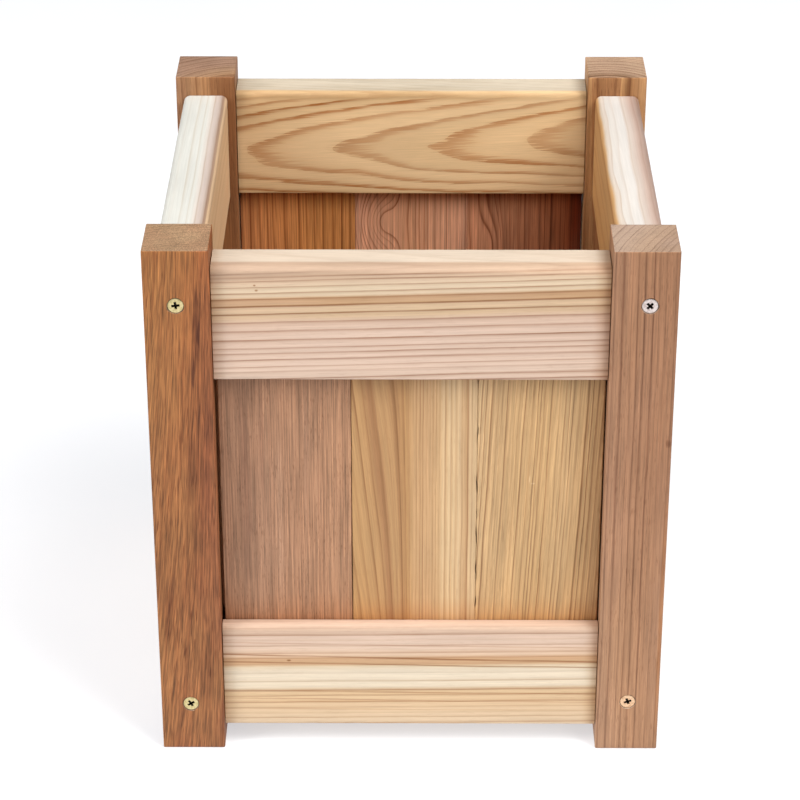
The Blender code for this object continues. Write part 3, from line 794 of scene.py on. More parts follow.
figure("upper_rail_right", "xzy", seed=67, pith=(-150, -60), tilt=(-0.012, 0.0), face_b=36, ring=5.0,
       base=[(16, (0.58, 0.42, 0.33)), (12.6, (0.50, 0.36, 0.28)), (10.6, (0.58, 0.42, 0.33)),
             (8.0, (0.72, 0.55, 0.44)), (3.0, (0.84, 0.74, 0.62)),
             (0.5, (0.90, 0.87, 0.78)), (-9, (0.89, 0.84, 0.73)), (-12, (0.80, 0.68, 0.52)),
             (-14, (0.80, 0.47, 0.19)), (-30, (0.80, 0.45, 0.165))],
       body=(25, 31, [(30, (0.98, 0.67, 0.43)), (8, (0.96, 0.64, 0.41)), (-2, (0.84, 0.54, 0.34)),
                      (-11, (0.95, 0.65, 0.42)), (-15, (0.80, 0.47, 0.19)), (-50, (0.80, 0.45, 0.165))]),
       late=(0.70, 0.54, 0.42), late_strength=(0.2, 0.85), streak=0.08, mottle=0.06, fibre=0.04,
       warp=(2.4, 1.0, 0.2), warp_run=80)
figure("lower_rail_left", "zxy", seed=71, pith=(-150, 40), tilt=(0.01, 0.0), face_b=-14, ring=4.8,
       base=[(-36, (0.80, 0.58, 0.41)), (0, (0.84, 0.66, 0.46)), (36, (0.83, 0.62, 0.42))],
       late=(0.62, 0.46, 0.34), late_strength=(0.35, 1.0), streak=0.12, mottle=0.07, dashes=0.10)
figure("lower_rail_right", "zxy", seed=73, pith=(12, -44), tilt=(0.03, 0.03), face_b=14, ring=4.2,
       base=[(-36, (0.83, 0.62, 0.41)), (0, (0.78, 0.55, 0.34)), (36, (0.84, 0.64, 0.45))],
       late=(0.62, 0.44, 0.30), late_strength=(0.45, 1.0), streak=0.12, mottle=0.07,
       profile=RING_FLAME, feather=0.5, dashes=0.10)

# ---- slats, front and rear: a = x, b = y, l = z --------------------------------
figure("slat_front_left", "xyz", seed=83, pith=(240, 50), tilt=(0.002, 0.0), ring=1.55, face_b=-6.35,
       base=[(-40, (0.50, 0.275, 0.17)), (-10, (0.54, 0.30, 0.185)), (20, (0.56, 0.31, 0.185)),
             (40, (0.57, 0.32, 0.19))],
       profile=RING_SOFT, late=(0.54, 0.42, 0.37), late_strength=(0.10, 0.80), warp=(0.7, 0.25, 0.06),
       # painted shade: run makes the slat darker and warmer at its foot over the lower rail's ledge, for the ledge's
       # shade and its warm bounce
       run=[(-82, (1.02, 0.86, 0.72)), (-66, (1.0, 0.97, 0.94)), (-45, (1, 1, 1)), (82, (0.99, 0.98, 0.97))],
       spots=[(-4, -20, 2.4, 90, (1.12, 1.16, 1.20)), (-24, 10, 5.0, 80, (0.86, 0.83, 0.84)),
              (12, 30, 2.0, 70, (1.08, 1.10, 1.14)), (-14, 40, 1.6, 50, (0.90, 0.86, 0.86))],
       warp_run=240, streak=0.55, mottle=0.15, fibre=0.20, dashes=0.50, dash_size=(0.4, 5.0),
       hue=(0.55, 0.33, 0.22), hue_amount=0.35, irregular=0.3)
figure("slat_front_middle", "xyz", seed=89, pith=(-190, -6), tilt=(0.0, 0.0), face_b=-6.35,
       sweep=(-0.105, 0.0, -24, 0),
       edges=[-46, -40, -34, -28, -22.5, -17, -12.2, -7.8, -4.8, -2.6, -0.2, 1.6, 3.8, 5.4, 7.6, 9.2,
              11.4, 13.0, 15.0, 18.6, 21.8, 24.4, 28.2, 31.6, 34, 38],
       base=[(-40, (0.68, 0.42, 0.19)), (-30, (0.69, 0.43, 0.20)), (-24, (0.67, 0.41, 0.19)),
             (-20, (0.54, 0.30, 0.14)), (-17.5, (0.52, 0.285, 0.13)), (-14.5, (0.70, 0.44, 0.21)),
             (-11, (0.68, 0.42, 0.20)), (-8.5, (0.56, 0.32, 0.145)),
             (-4, (0.66, 0.40, 0.18)), (0, (0.76, 0.50, 0.26)), (8, (0.78, 0.52, 0.28)),
             (15.4, (0.79, 0.55, 0.30)), (17.3, (0.95, 0.73, 0.45)), (18.8, (0.82, 0.58, 0.32)),
             (20.7, (0.96, 0.75, 0.47)), (22.0, (0.82, 0.58, 0.32)), (23.2, (0.94, 0.73, 0.45)),
             (24.6, (0.80, 0.56, 0.31)), (26.0, (0.93, 0.71, 0.44)), (28, (0.84, 0.60, 0.34)),
             (31.4, (0.72, 0.47, 0.25)), (32.6, (0.87, 0.66, 0.40)), (36, (0.86, 0.64, 0.38))],
       late=(0.46, 0.31, 0.22), late_strength=(0.12, 0.75), warp=(1.0, 0.4, 0.10), warp_run=200,
       streak=0.20, mottle=0.08, fibre=0.09, dashes=0.15,
       # painted shade: run makes the slat darker and warmer at its foot over the lower rail's ledge, for the ledge's
       # shade and its warm bounce
       run=[(-82, (1.02, 0.84, 0.70)), (-68, (1.02, 0.98, 0.94)), (-40, (1, 1, 1)), (82, (0.98, 0.97, 0.96))])
figure("slat_front_right", "xyz", seed=97, pith=(120, 40), tilt=(0.046, 0.0), ring=3.0, face_b=-6.35,
       base=[(-40, (0.90, 0.67, 0.42)), (-33, (0.86, 0.61, 0.36)), (-15, (0.82, 0.57, 0.32)),
             (2, (0.80, 0.55, 0.30)), (14, (0.80, 0.56, 0.32)), (28, (0.74, 0.49, 0.26)),
             (42, (0.68, 0.43, 0.23))],
       late=(0.36, 0.23, 0.15), late_strength=(0.25, 0.95), profile=RING_SOFT, irregular=0.6,
       warp=(1.2, 0.5, 0.12), warp_run=160, streak=0.36, mottle=0.11, fibre=0.13, dashes=0.22,
       # painted shade: run makes the slat darker and warmer at its foot over the lower rail's ledge, for the ledge's
       # shade and its warm bounce
       run=[(-82, (1.02, 0.84, 0.68)), (-68, (1.02, 0.98, 0.94)), (-40, (1, 1, 1)), (82, (0.98, 0.97, 0.96))],
       spots=[(-6.0, 14, 0.45, 3.4, (1.25, 1.35, 1.6)), (-4.0, 11, 1.8, 0.8, (1.2, 1.3, 1.5))])
figure("slat_rear_left", "xyz", seed=101, pith=(150, 30), tilt=(0.0, 0.0), ring=6.0, face_b=-6.35,
       base=[(-40, (0.50, 0.24, 0.13)), (-10, (0.56, 0.28, 0.13)), (40, (0.50, 0.26, 0.11))],
       late=(0.34, 0.21, 0.14), late_strength=(0.6, 1.0), hue=(0.55, 0.27, 0.15), streak=0.58, fibre=0.14)
figure("slat_rear_middle", "xyz", seed=103, pith=(-120, 40), tilt=(0.0, 0.0), ring=3.2, face_b=-6.35,
       base=[(-40, (0.58, 0.33, 0.23)), (0, (0.60, 0.33, 0.20)), (40, (0.62, 0.36, 0.25))],
       late=(0.40, 0.26, 0.20), late_strength=(0.45, 1.0), knots=[(-22, 60, 13, 20, 14)],
       hue=(0.6, 0.36, 0.27), streak=0.50, mottle=0.20, fibre=0.14)
figure("slat_rear_right", "xyz", seed=107, pith=(130, 30), tilt=(0.0, 0.0), ring=4.2, face_b=-6.35,
       # painted shadow: the base goes near black towards the right edge (a from 14 to 40), where the box's right side
       # shades the inside
       base=[(-40, (0.64, 0.36, 0.25)), (-5, (0.54, 0.28, 0.18)), (14, (0.40, 0.17, 0.09)), (27, (0.30, 0.09, 0.03)),
             (34, (0.17, 0.028, 0.006)), (40, (0.15, 0.022, 0.004))],
       late=(0.36, 0.24, 0.18), late_strength=(0.5, 1.0), knots=[(-22, 40, 9, 24, 10)],
       hue=(0.5, 0.27, 0.18), streak=0.55, mottle=0.24, fibre=0.14)

# ---- slats, left and right: a = y, b = x, l = z --------------------------------
figure("slat_left_front", "yxz", seed=109, pith=(90, 40), tilt=(0.02, 0.0), ring=2.6, face_b=-6.35,
       base=[(-40, (0.62, 0.38, 0.21)), (40, (0.70, 0.45, 0.25))], late_strength=(0.3, 0.8), dashes=0.15)
figure("slat_left_middle", "yxz", seed=113, pith=(-8, 46), tilt=(0.02, 0.06), ring=3.4, face_b=-6.35,
       base=[(-40, (0.54, 0.30, 0.18)), (40, (0.56, 0.31, 0.19))], late_strength=(0.4, 0.9),
       late=(0.64, 0.52, 0.44), profile=RING_FLAME, dashes=0.2)
figure("slat_left_rear", "yxz", seed=127, pith=(-140, 30), tilt=(-0.02, 0.0), ring=3.0, face_b=-6.35,
       base=[(-40, (0.78, 0.53, 0.30)), (40, (0.72, 0.47, 0.25))], late_strength=(0.3, 0.85), dashes=0.1)
figure("slat_right_front", "yxz", seed=131, pith=(120, -40), tilt=(0.01, 0.0), ring=2.0, face_b=6.35,
       base=[(-40, (0.55, 0.31, 0.19)), (40, (0.60, 0.35, 0.21))], late_strength=(0.3, 0.75), dashes=0.2,
       late=(0.70, 0.58, 0.50))
figure("slat_right_middle", "yxz", seed=137, pith=(-100, -36), tilt=(0.03, 0.0), ring=3.3, face_b=6.35,
       base=[(-40, (0.70, 0.44, 0.23)), (40, (0.79, 0.54, 0.31))], late_strength=(0.3, 0.85), dashes=0.12)
figure("slat_right_rear", "yxz", seed=139, pith=(6, -48), tilt=(-0.02, 0.055), ring=3.6, face_b=6.35,
       base=[(-40, (0.60, 0.34, 0.19)), (40, (0.56, 0.30, 0.17))], late_strength=(0.45, 0.95),
       profile=RING_FLAME, dashes=0.2)

# ---- floor boards (a = x, b = z, l = y) and cleats (a = z, b = y, l = x) -------
figure("floor_board_left", "xzy", seed=149, pith=(60, 30), tilt=(0.02, 0.02), ring=3.2, face_b=6.3,
       base=[(-26, (0.66, 0.40, 0.22)), (26, (0.60, 0.35, 0.20))], late_strength=(0.4, 0.9), dashes=0.2)
figure("floor_board_mid_left", "xzy", seed=151, pith=(3, -40), tilt=(0.01, -0.06), ring=3.6, face_b=6.3,
       base=[(-26, (0.72, 0.46, 0.25)), (26, (0.74, 0.49, 0.28))], late_strength=(0.5, 1.0),
       profile=RING_FLAME)
figure("floor_board_mid_right", "xzy", seed=157, pith=(-90, 30), tilt=(-0.015, 0.0), ring=2.4, face_b=6.3,
       base=[(-26, (0.56, 0.32, 0.20)), (26, (0.60, 0.34, 0.20))], late_strength=(0.3, 0.8), dashes=0.2)
figure("floor_board_right", "xzy", seed=163, pith=(110, 30), tilt=(0.01, 0.0), ring=3.8, face_b=6.3,
       base=[(-26, (0.78, 0.54, 0.32)), (26, (0.70, 0.45, 0.24))], late_strength=(0.3, 0.85))
figure("floor_cleat_front", "zyx", seed=167, pith=(60, 20), tilt=(0.01, 0.0), ring=3.6, face_b=0,
       base=[(-10, (0.66, 0.40, 0.22)), (10, (0.62, 0.37, 0.21))], late_strength=(0.4, 0.9))
figure("floor_cleat_rear", "zyx", seed=173, pith=(-50, 20), tilt=(0.01, 0.0), ring=4.0, face_b=0,
       base=[(-10, (0.60, 0.36, 0.22)), (10, (0.66, 0.41, 0.24))], late_strength=(0.4, 0.9))


# how far each board's colours are from plain fresh cedar
CAST = {
    "post_front_left": (0.56, 0.49, 0.43), "post_front_right": (0.61, 0.60, 0.565),
    "post_rear_left": (0.56, 0.51, 0.42), "post_rear_right": (0.66, 0.61, 0.48),
    "upper_rail_front": (0.63, 0.62, 0.63), "lower_rail_front": (0.69, 0.69, 0.69),
    "upper_rail_rear": (0.84, 0.84, 0.82), "upper_rail_left": (0.58, 0.59, 0.61),
    "upper_rail_right": (0.60, 0.58, 0.60), "slat_front_left": (0.62, 0.59, 0.55),
    "slat_front_middle": (0.61, 0.56, 0.52), "slat_front_right": (0.59, 0.535, 0.455),
    # the rear slats' casts are brighter and warmer than the front slats': partly their own colour, partly painted warm
    # bounce light from inside the box
    "slat_rear_left": (0.93, 0.76, 0.50), "slat_rear_middle": (0.98, 0.88, 0.78),
    "slat_rear_right": (0.77, 0.62, 0.48),
}


def board_materials(node):
    axes, settings = BOARDS[node]
    centre = centre_of(node)
    settings = dict(settings, cast=CAST.get(node, (0.70, 0.62, 0.56)))
    side = wood("wood_" + node, axes, centre, **settings)
    ends = dict(settings)
    ends["accents"] = ()
    if settings.get("end_pith"):
        ends.update(pith=settings["end_pith"], edges=None, tilt=(0.0, 0.0), ring=3.4)
    if "end_cast" in settings:
        ends["cast"] = tuple(p * q for p, q in zip(settings["cast"], settings["end_cast"]))
    ends["gain"] = ends.get("gain", 1.0) * 0.86
    ends["rough"] = 0.78
    ends["spots"] = ()
    ends["knots"] = ()
    grain = wood("grain_" + node, axes, centre, end=True, **ends)
    return side, grain


def box_section(node, axis, radius, spread=(0.0, 0.0)):
    """Section of a plain board from its CAD box, with its own corner rounds.
    spread widens a slat at its two edges, so that neighbours all but touch."""
    low, high = mm_box(node)
    wide = 0 if high[0] - low[0] > high[1] - low[1] else 1
    low[wide] -= spread[0]
    high[wide] += spread[1]
    pick = {"Z": (0, 1), "X": (1, 2), "Y": (0, 2)}[axis]
    u0, v0 = low[pick[0]], low[pick[1]]
    u1, v1 = high[pick[0]], high[pick[1]]
    r = [radius * f for f in (1.0, 1.25, 0.85, 1.1)]
    return [(u0, v0, r[0]), (u1, v0, r[1]), (u1, v1, r[2]), (u0, v1, r[3])]


def rail_section(node, slat_node, axis, upper):
    """Section of a rail: rounded top edges, eased bottom edges, and the groove
    that holds the slats, cut from below or from above."""
    low, high = mm_box(node)
    slow, shigh = mm_box(slat_node)
    u = 1 if axis == "X" else 0
    u0, u1, v0, v1 = low[u], high[u], low[2], high[2]
    g0, g1 = slow[u] - 0.35, shigh[u] + 0.35
    deep = 10.0
    round_top, ease = 4.0, 0.6
    if upper:
        return [(u0, v0, ease), (g0, v0, 0.35), (g0, v0 + deep, 0.25), (g1, v0 + deep, 0.25),
                (g1, v0, 0.35), (u1, v0, ease), (u1, v1, round_top), (u0, v1, round_top)]
    return [(u0, v0, ease), (u1, v0, ease), (u1, v1, round_top), (g1, v1, 0.35),
            (g1, v1 - deep, 0.25), (g0, v1 - deep, 0.25), (g0, v1, 0.35), (u0, v1, round_top)]


def lengths(node, axis):
    low, high = mm_box(node)
    k = {"X": 0, "Y": 1, "Z": 2}[axis]
    return low[k], high[k]


# ---- hole tools ----------------------------------------------------------------
def hole_tool(head, out, length, head_r, shank_r, sunk, roll=0.0, seed=3, ragged=0.05):
    """The space of a countersunk screw: torn rim, cone, and a bore for the shank."""
    def torn(ang, r, z, row):
        if row > 3:
            return r
        n = (math.sin(3 * ang + seed) * 0.5 + math.sin(7 * ang + seed * 2.1) * 0.3
             + math.sin(13 * ang + seed * 0.7) * 0.35)
        notch = max(0.0, 1 - abs(((ang - 2.3 + math.pi) % (2 * math.pi)) - math.pi) / 0.35)
        return r * (1 + ragged * n * 0.5 + ragged * 1.3 * notch)
    cone = head_r - shank_r
    profile = [(0, sunk + 1.5), (head_r + 0.42, sunk + 1.5), (head_r + 0.42, sunk * 0.5),
               (head_r + 0.30, -0.5), (shank_r + 0.4, -0.6 - cone), (shank_r + 0.4, -length + 5.5),
               (0, -length - 1.0)]
    verts, faces = lathe(profile, 40, torn)
    return aimed(verts, head, out, roll), faces


def socket_tool(middle, direction, radius, half):
    verts, faces = lathe([(0, -half), (radius, -half), (radius, half), (0, half)], 32)
    return aimed(verts, middle, direction), faces


tools = {}


def bore(node, tool):
    tools.setdefault(node, []).append(tool)


SCREWS = {}        # node -> (head centre, outward direction, length, head r, shank r)
for end, sy in (("front", -1), ("rear", 1)):
    for hand in ("left", "right"):
        for level in ("top", "bottom"):
            node = f"screw_{end}_{hand}_{level}"
            low, high = mm_box(node)
            x, z = (low[0] + high[0]) / 2, (low[2] + high[2]) / 2
            y = low[1] if sy < 0 else high[1]
            SCREWS[node] = ((x, y, z), (0, sy, 0), high[1] - low[1], 4.6, 2.3)
            tool = hole_tool((x, y, z), (0, sy, 0), high[1] - low[1], 4.6, 2.3, 0.4,
                             roll=len(SCREWS) * 1.3, seed=len(SCREWS), ragged=0.07)
            bore(f"post_{end}_{hand}", tool)
            bore(f"{'upper' if level == 'top' else 'lower'}_rail_{hand}", tool)
for side, sy in (("front", -1), ("rear", 1)):
    for hand in ("left", "right"):
        node = f"cleat_screw_{side}_{hand}"
        low, high = mm_box(node)
        x, z = (low[0] + high[0]) / 2, (low[2] + high[2]) / 2
        y = high[1] if sy < 0 else low[1]
        SCREWS[node] = ((x, y, z), (0, -sy, 0), high[1] - low[1], 3.9, 1.9)
        tool = hole_tool((x, y, z), (0, -sy, 0), high[1] - low[1], 3.9, 1.9, 0.4,
                         roll=0.7, seed=len(SCREWS), ragged=0.05)
        bore(f"floor_cleat_{side}", tool)
        bore(f"lower_rail_{side}", tool)
DOWELS = {}
for level in ("upper", "lower"):
    for end in ("front", "rear"):
        for hand in ("left", "right"):
            node = f"dowel_{level}_{end}_{hand}"
            low, high = mm_box(node)
            middle = [(p + q) / 2 for p, q in zip(low, high)]
            half = (high[0] - low[0]) / 2
            DOWELS[node] = (middle, half)
            tool = socket_tool(middle, (1, 0, 0), 6.75, half + 1.0)
            bore(f"post_{end}_{hand}", tool)
            bore(f"{level}_rail_{end}", tool)
NAILS = {}
for side in ("front", "rear"):
    for name in ("left", "mid_left", "mid_right", "right"):
        node = f"floor_nail_{side}_{name}"
        low, high = mm_box(node)
        head = ((low[0] + high[0]) / 2, (low[1] + high[1]) / 2, high[2])
        NAILS[node] = (head, high[2] - low[2])
        profile = [(0, 1.5), (3.0, 1.5), (3.0, -1.3), (1.7, -1.7), (1.7, -(high[2] - low[2]) + 2.5),
                   (0, -(high[2] - low[2]) - 1.0)]
        verts, faces = lathe(profile, 20)
        tool = (aimed(verts, head, (0, 0, 1)), faces)
        bore(f"floor_board_{name}", tool)
        bore(f"floor_cleat_{side}", tool)


def install(obj, node):
    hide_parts(node)
    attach(obj, "root")
    return obj


def make_board(node):
    key = node.split("_")[0]
    seed = BOARDS[node][1]["seed"]
    chips = ()
    if key == "post":
        axis = "Z"
        section = box_section(node, axis, 0.75)
        settings = dict(step=3.0, along=4.5, end_ease=0.6, bow=0.10, wear=0.55)
    elif key in ("upper", "lower"):
        side = node.split("_")[2]
        axis = "X" if side in ("front", "rear") else "Y"
        section = rail_section(node, f"slat_{side}_middle", axis, key == "upper")
        settings = dict(step=3.4, along=4.5, end_ease=0.3, bow=0.10, wear=0.25, cap_rings=False)
    elif key == "slat":
        axis = "Z"
        side, where = node.split("_")[1:]
        spread = [0.15, 0.15]
        if side != "front" and where != "middle":
            spread[1 if where in ("right", "rear") else 0] = 0.6
        section = box_section(node, axis, 0.5, spread)
        settings = dict(step=3.6, along=2.2 if side == "front" else 4.5, end_ease=0.35,
                        bow=0.04, wear=0.55)
        low, high = mm_box(node)
        # torn places along the joints
        if node == "slat_front_right":
            chips = [(low[0] - 0.15, low[1], z, (1.9, 2.2, run), deep) for z, run, deep in
                     ((255.0, 6.0, 1.5), (216.5, 4.0, 1.0), (177.0, 8.0, 0.9), (160.0, 5.0, 0.6),
                      (143.0, 9.0, 0.8), (118.0, 7.0, 1.0), (99.0, 5.0, 0.9))]
        if node == "slat_front_middle":
            chips = [(high[0] + 0.15, low[1], z, (1.7, 2.0, run), deep) for z, run, deep in
                     ((251.0, 6.0, 1.1), (212.0, 5.0, 0.7), (181.0, 9.0, 0.8), (147.0, 8.0, 0.7),
                      (122.0, 6.0, 0.9), (96.0, 4.0, 0.9))]
            chips += [(low[0] - 0.15, low[1], 120.0, (1.1, 1.4, 60.0), 0.45),
                      (low[0] - 0.15, low[1], 208.0, (1.0, 1.2, 8.0), 0.4)]
        if node == "slat_front_left":
            chips = [(high[0] + 0.15, low[1], 125.0, (1.2, 1.4, 48.0), 0.5),
                     (high[0] + 0.15, low[1], 188.0, (1.0, 1.2, 7.0), 0.4)]
    else:
        axis = "Y" if "board" in node else "X"
        section = box_section(node, axis, 0.6)
        settings = dict(step=3.8, along=5.5, end_ease=0.5, bow=0.10, wear=0.5)
    low, high = lengths(node, axis)
    obj = board_mesh(node.replace("_", "-") + "-look", axis, section, low, high, chips=chips,
                     seed=seed, **settings)
    for made in board_materials(node):
        obj.data.materials.append(made)
    cut_holes(obj, tools.get(node))
    return install(obj, node)


looks = {node: make_board(node) for node in BOARDS}


# =============================================================================
# screws, dowels and nails
# =============================================================================
def cross(reach, half, high, deep):
    def plus(arm, width, height):
        quarter = [(arm, -width), (arm, width), (width, width)]
        points = []
        for k in range(4):
            turn = Matrix.Rotation(k * math.pi / 2, 3, "Z")
            points += [tuple(turn @ Vector((u, v, height))) for u, v in quarter]
        return points
    verts = plus(reach, half, high) + plus(reach * 0.38, half * 0.75, -deep)
    faces = [tuple(range(12)), tuple(range(23, 11, -1))]
    faces += [(k, 12 + k, 12 + (k + 1) % 12, (k + 1) % 12) for k in range(12)]
    return verts, faces


def screw_verts(length, head_r, shank_r, pitch, thread_from):
    """Countersunk wood screw: crowned rim, cone, smooth shank, thread, point."""
    core = shank_r * 0.74
    profile = [(0, -0.02), (head_r * 0.30, -0.02), (head_r * 0.55, -0.02), (head_r * 0.78, -0.03),
               (head_r * 0.93, -0.06), (head_r * 0.985, -0.14), (head_r, -0.28), (head_r * 0.99, -0.42),
               (head_r * 0.90, -0.75), (shank_r * 1.25, -(head_r - shank_r) - 0.35),
               (shank_r * 0.99, -(head_r - shank_r) - 0.9), (shank_r * 0.97, -thread_from + 0.6)]
    rows_from = len(profile)
    z = -thread_from
    tip = 6.0
    while z > -length + 0.25:
        left = z + length
        taper = min(1.0, max(0.05, left / tip) ** 0.8)
        profile.append((core * taper, z))
        z -= pitch / 7
    profile.append((0, -length))

    def threaded(ang, r, z, row):
        if row < rows_from:
            return r
        turn = (z / pitch + ang / (2 * math.pi)) % 1.0
        ridge = max(0.0, 1 - abs(turn - 0.5) / 0.26)
        rise = min(1.0, (-z - thread_from) / (pitch * 1.5))
        left = min(1.0, max(0.0, (z + length) / 3.0))
        return r + (shank_r - core) * 0.97 * ridge * rise * left
    return lathe(profile, 36, threaded)


ROLLS = {"screw_front_left_top": 0.12, "screw_front_left_bottom": 0.55, "screw_front_right_top": 0.80,
         "screw_front_right_bottom": 0.35, "screw_rear_left_top": 0.2, "screw_rear_left_bottom": 1.0,
         "screw_rear_right_top": 0.6, "screw_rear_right_bottom": 0.9}
YELLOW_ZINC = metal("zinc_yellow", (0.66, 0.56, 0.30), (0.50, 0.41, 0.19), 0.36, 3, sunk=True)
PALE_ZINC = metal("zinc_pale", (0.66, 0.58, 0.55), (0.48, 0.40, 0.37), 0.34, 5, sunk=True)
BRASSY_ZINC = metal("zinc_brassy", (0.76, 0.52, 0.33), (0.60, 0.37, 0.22), 0.36, 7, sunk=True)
ZINC = {"screw_front_right_top": PALE_ZINC, "screw_front_right_bottom": BRASSY_ZINC,
        "screw_rear_right_top": PALE_ZINC}

screw_cache = {}
for node, (head, out, length, head_r, shank_r) in SCREWS.items():
    kind = round(length, 1)
    if kind not in screw_cache:
        verts, faces = screw_verts(length, head_r, shank_r, 2.3 if head_r > 4 else 1.8,
                                   15.0 if head_r > 4 else 7.0)
        blank = finish_mesh("blank", verts, faces, smooth=40)
        rv, rf = cross(head_r * 0.60, head_r * 0.17, 0.6, head_r * 0.55)
        tool = finish_mesh("recess", rv, rf, smooth=0)
        mod = blank.modifiers.new("recess", "BOOLEAN")
        mod.operation = "DIFFERENCE"
        mod.solver = "EXACT"
        mod.object = tool
        apply_modifiers(blank)
        bpy.data.objects.remove(tool, do_unlink=True)
        blank.data.shade_smooth()
        blank.data.set_sharp_from_angle(angle=math.radians(30))
        screw_cache[kind] = blank.data
        bpy.data.objects.remove(blank, do_unlink=True)
    mesh = screw_cache[kind].copy()
    obj = bpy.data.objects.new(node.replace("_", "-") + "-look", mesh)
    scene.collection.objects.link(obj)
    obj.matrix_world = (Matrix.Translation(Vector(head) * MM)
                        @ Vector(out).to_track_quat("Z", "Y").to_matrix().to_4x4()
                        @ Matrix.Rotation(ROLLS.get(node, 0.3), 4, "Z"))
    mesh.materials.clear()
    mesh.materials.append(ZINC.get(node, YELLOW_ZINC))
    install(obj, node)


def dowel_wood(name, seed):
    """Turned beech: fine flecks along the peg, pale pinkish tan."""
    N = Nodes(name)
    mm = N.scale(N.coords.outputs["Object"], (1000, 1000, 1000))
    fleck = N.noise(N.scale(mm, (1 / 0.35, 1 / 0.35, 1 / 3.0), (seed, 0, 0)), 2.0, 0.6)
    cloud = N.noise(N.scale(mm, (1 / 5, 1 / 5, 1 / 20), (0, seed, 0)), 2.0, 0.5)
    colour = N.mix(cloud, (0.70, 0.52, 0.34), (0.60, 0.41, 0.26))
    colour = N.mix(N.step(fleck, 0.55, 0.70, 0.0, 0.5), colour, (0.42, 0.26, 0.15))
    N.put(N.shader.inputs["Base Color"], colour)
    N.put(N.shader.inputs["Roughness"], N.mad(fleck, 0.2, 0.5))
    N.bump(fleck, 0.0001, 0.5)
    return N.material


DOWEL_WOOD = dowel_wood("wood_dowel_peg", 4.0)
for node, (middle, half) in DOWELS.items():
    chamfer, radius = 1.2, 6.35
    stations = [-half + chamfer] + list(np.linspace(-half + 3.0, half - 3.0, 7)) + [half - chamfer]
    profile = [(0, -half), (radius - chamfer * 0.9, -half), (radius - 0.5, -half + 0.5)]
    profile += [(radius, s) for s in stations]
    profile += [(radius - 0.5, half - 0.5), (radius - chamfer * 0.9, half), (0, half)]

    def fluted(ang, r, z, row):
        if r < 6.0 and abs(z) > half - 0.9:
            return r
        return r - 0.28 * max(0.0, math.cos(12 * ang)) ** 2 - 0.02
    verts, faces = lathe(profile, 72, fluted)
    obj = finish_mesh(node.replace("_", "-") + "-look", verts, faces, smooth=50)
    obj.matrix_world = (Matrix.Translation(Vector(middle) * MM)
                        @ Vector((1, 0, 0)).to_track_quat("Z", "Y").to_matrix().to_4x4())
    obj.data.materials.append(DOWEL_WOOD)
    install(obj, node)

NAIL_STEEL = metal("steel_bright", (0.62, 0.62, 0.63), (0.42, 0.41, 0.40), 0.36, 9)
for node, (head, length) in NAILS.items():
    profile = [(0, -0.02), (1.3, -0.03), (2.2, -0.08), (2.52, -0.2), (2.6, -0.45), (2.5, -0.8), (1.9, -1.1),
               (1.35, -1.5)]
    profile += [(1.28 - 0.05 * (k % 2), -2.0 - k * 0.45) for k in range(8)]
    profile += [(1.3, -6.2), (1.3, -length + 3.2), (0.9, -length + 1.7), (0.4, -length + 0.5), (0, -length)]
    verts, faces = lathe(profile, 24)
    obj = finish_mesh(node.replace("_", "-") + "-look", verts, faces, smooth=40)
    obj.matrix_world = Matrix.Translation(Vector(head) * MM)
    obj.data.materials.append(NAIL_STEEL)
    install(obj, node)


# =============================================================================
# floor, light and camera
# =============================================================================
def floor_material():
    N = Nodes("studio_floor")
    mm = N.scale(N.coords.outputs["Object"], (1000, 1000, 1000))
    soft = N.noise(N.scale(mm, (1 / 180, 1 / 180, 1 / 180)), 3.0, 0.5)
    colour = N.mix(soft, (0.44, 0.44, 0.44), (0.46, 0.46, 0.46))
    N.put(N.shader.inputs["Base Color"], colour)
    N.shader.inputs["Roughness"].default_value = 0.9
    N.shader.inputs["Specular IOR Level"].default_value = 0.1
    # a lit sweep: the floor glows a little, as a light table does
    N.put(N.shader.inputs["Emission Color"],
          N.mix(soft, (0.430, 0.440, 0.462), (0.450, 0.460, 0.482)))
    N.shader.inputs["Emission Strength"].default_value = 1.18
    return N.material


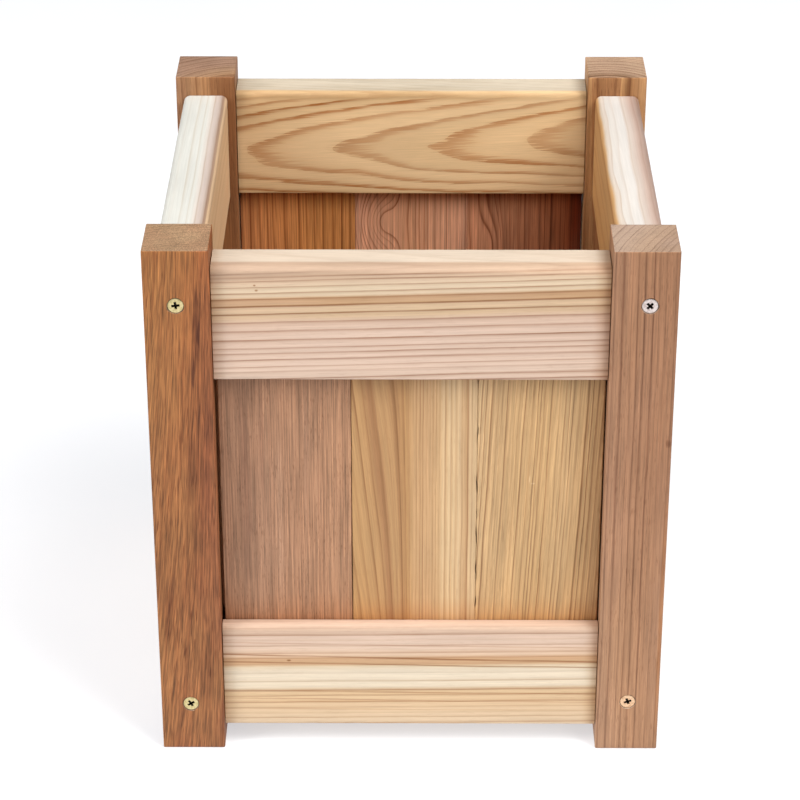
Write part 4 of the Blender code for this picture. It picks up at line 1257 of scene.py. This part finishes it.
size = 12.0
cuts = 24
verts = [(-size / 2 + size * i / cuts, -size / 2 + size * j / cuts, -0.0004)
         for j in range(cuts + 1) for i in range(cuts + 1)]
faces = [(j * (cuts + 1) + i, j * (cuts + 1) + i + 1, (j + 1) * (cuts + 1) + i + 1, (j + 1) * (cuts + 1) + i)
         for j in range(cuts) for i in range(cuts)]
floor_mesh = bpy.data.meshes.new("studio-floor")
floor_mesh.from_pydata(verts, [], faces)
floor = bpy.data.objects.new("studio-floor", floor_mesh)
scene.collection.objects.link(floor)
floor_mesh.materials.append(floor_material())

world = bpy.data.worlds.new("surround")
scene.world = world
world.use_nodes = True
world.node_tree.nodes["Background"].inputs["Color"].default_value = (1.0, 1.0, 1.0, 1.0)
world.node_tree.nodes["Background"].inputs["Strength"].default_value = 0.02


def area_light(name, azimuth, elevation, distance, wide, high, level, colour=(1, 1, 1),
               target=(0, 0, 0.17)):
    """A soft box. Azimuth is from the front (-Y) towards the right (+X). level is
    the brightness of a white card that faces it at the target."""
    data = bpy.data.lights.new(name, "AREA")
    data.shape = "RECTANGLE"
    data.size = wide
    data.size_y = high
    power = level * math.pi ** 2 * distance ** 2
    data.energy = power
    data.color = colour
    obj = bpy.data.objects.new(name, data)
    scene.collection.objects.link(obj)
    a, e = math.radians(azimuth), math.radians(elevation)
    away = Vector((math.sin(a) * math.cos(e), -math.cos(a) * math.cos(e), math.sin(e)))
    obj.location = Vector(target) + away * distance
    obj.rotation_euler = away.to_track_quat("Z", "Y").to_euler()
    obj.visible_camera = False
    return obj


area_light("softbox-top", 15, 76, 3.2, 3.0, 3.0, 0.455)
area_light("softbox-right", 45, 35, 3.2, 1.4, 1.6, 0.41)
area_light("softbox-right-high", 55, 58, 3.2, 1.6, 1.6, 0.81)
area_light("softbox-left", -61, 25, 3.2, 1.15, 1.8, 0.69)
area_light("softbox-left-high", -60, 58, 3.2, 1.6, 1.6, 0.30)

camera_data = bpy.data.cameras.new("camera")
camera_data.lens = 127.06
camera_data.sensor_width = 36.0
camera = bpy.data.objects.new("camera", camera_data)
scene.collection.objects.link(camera)
camera.location = (0.00003, -1.5949, 1.00867)
camera.rotation_euler = (math.pi / 2 - 0.4876, 0.0, 0.0043)
scene.camera = camera
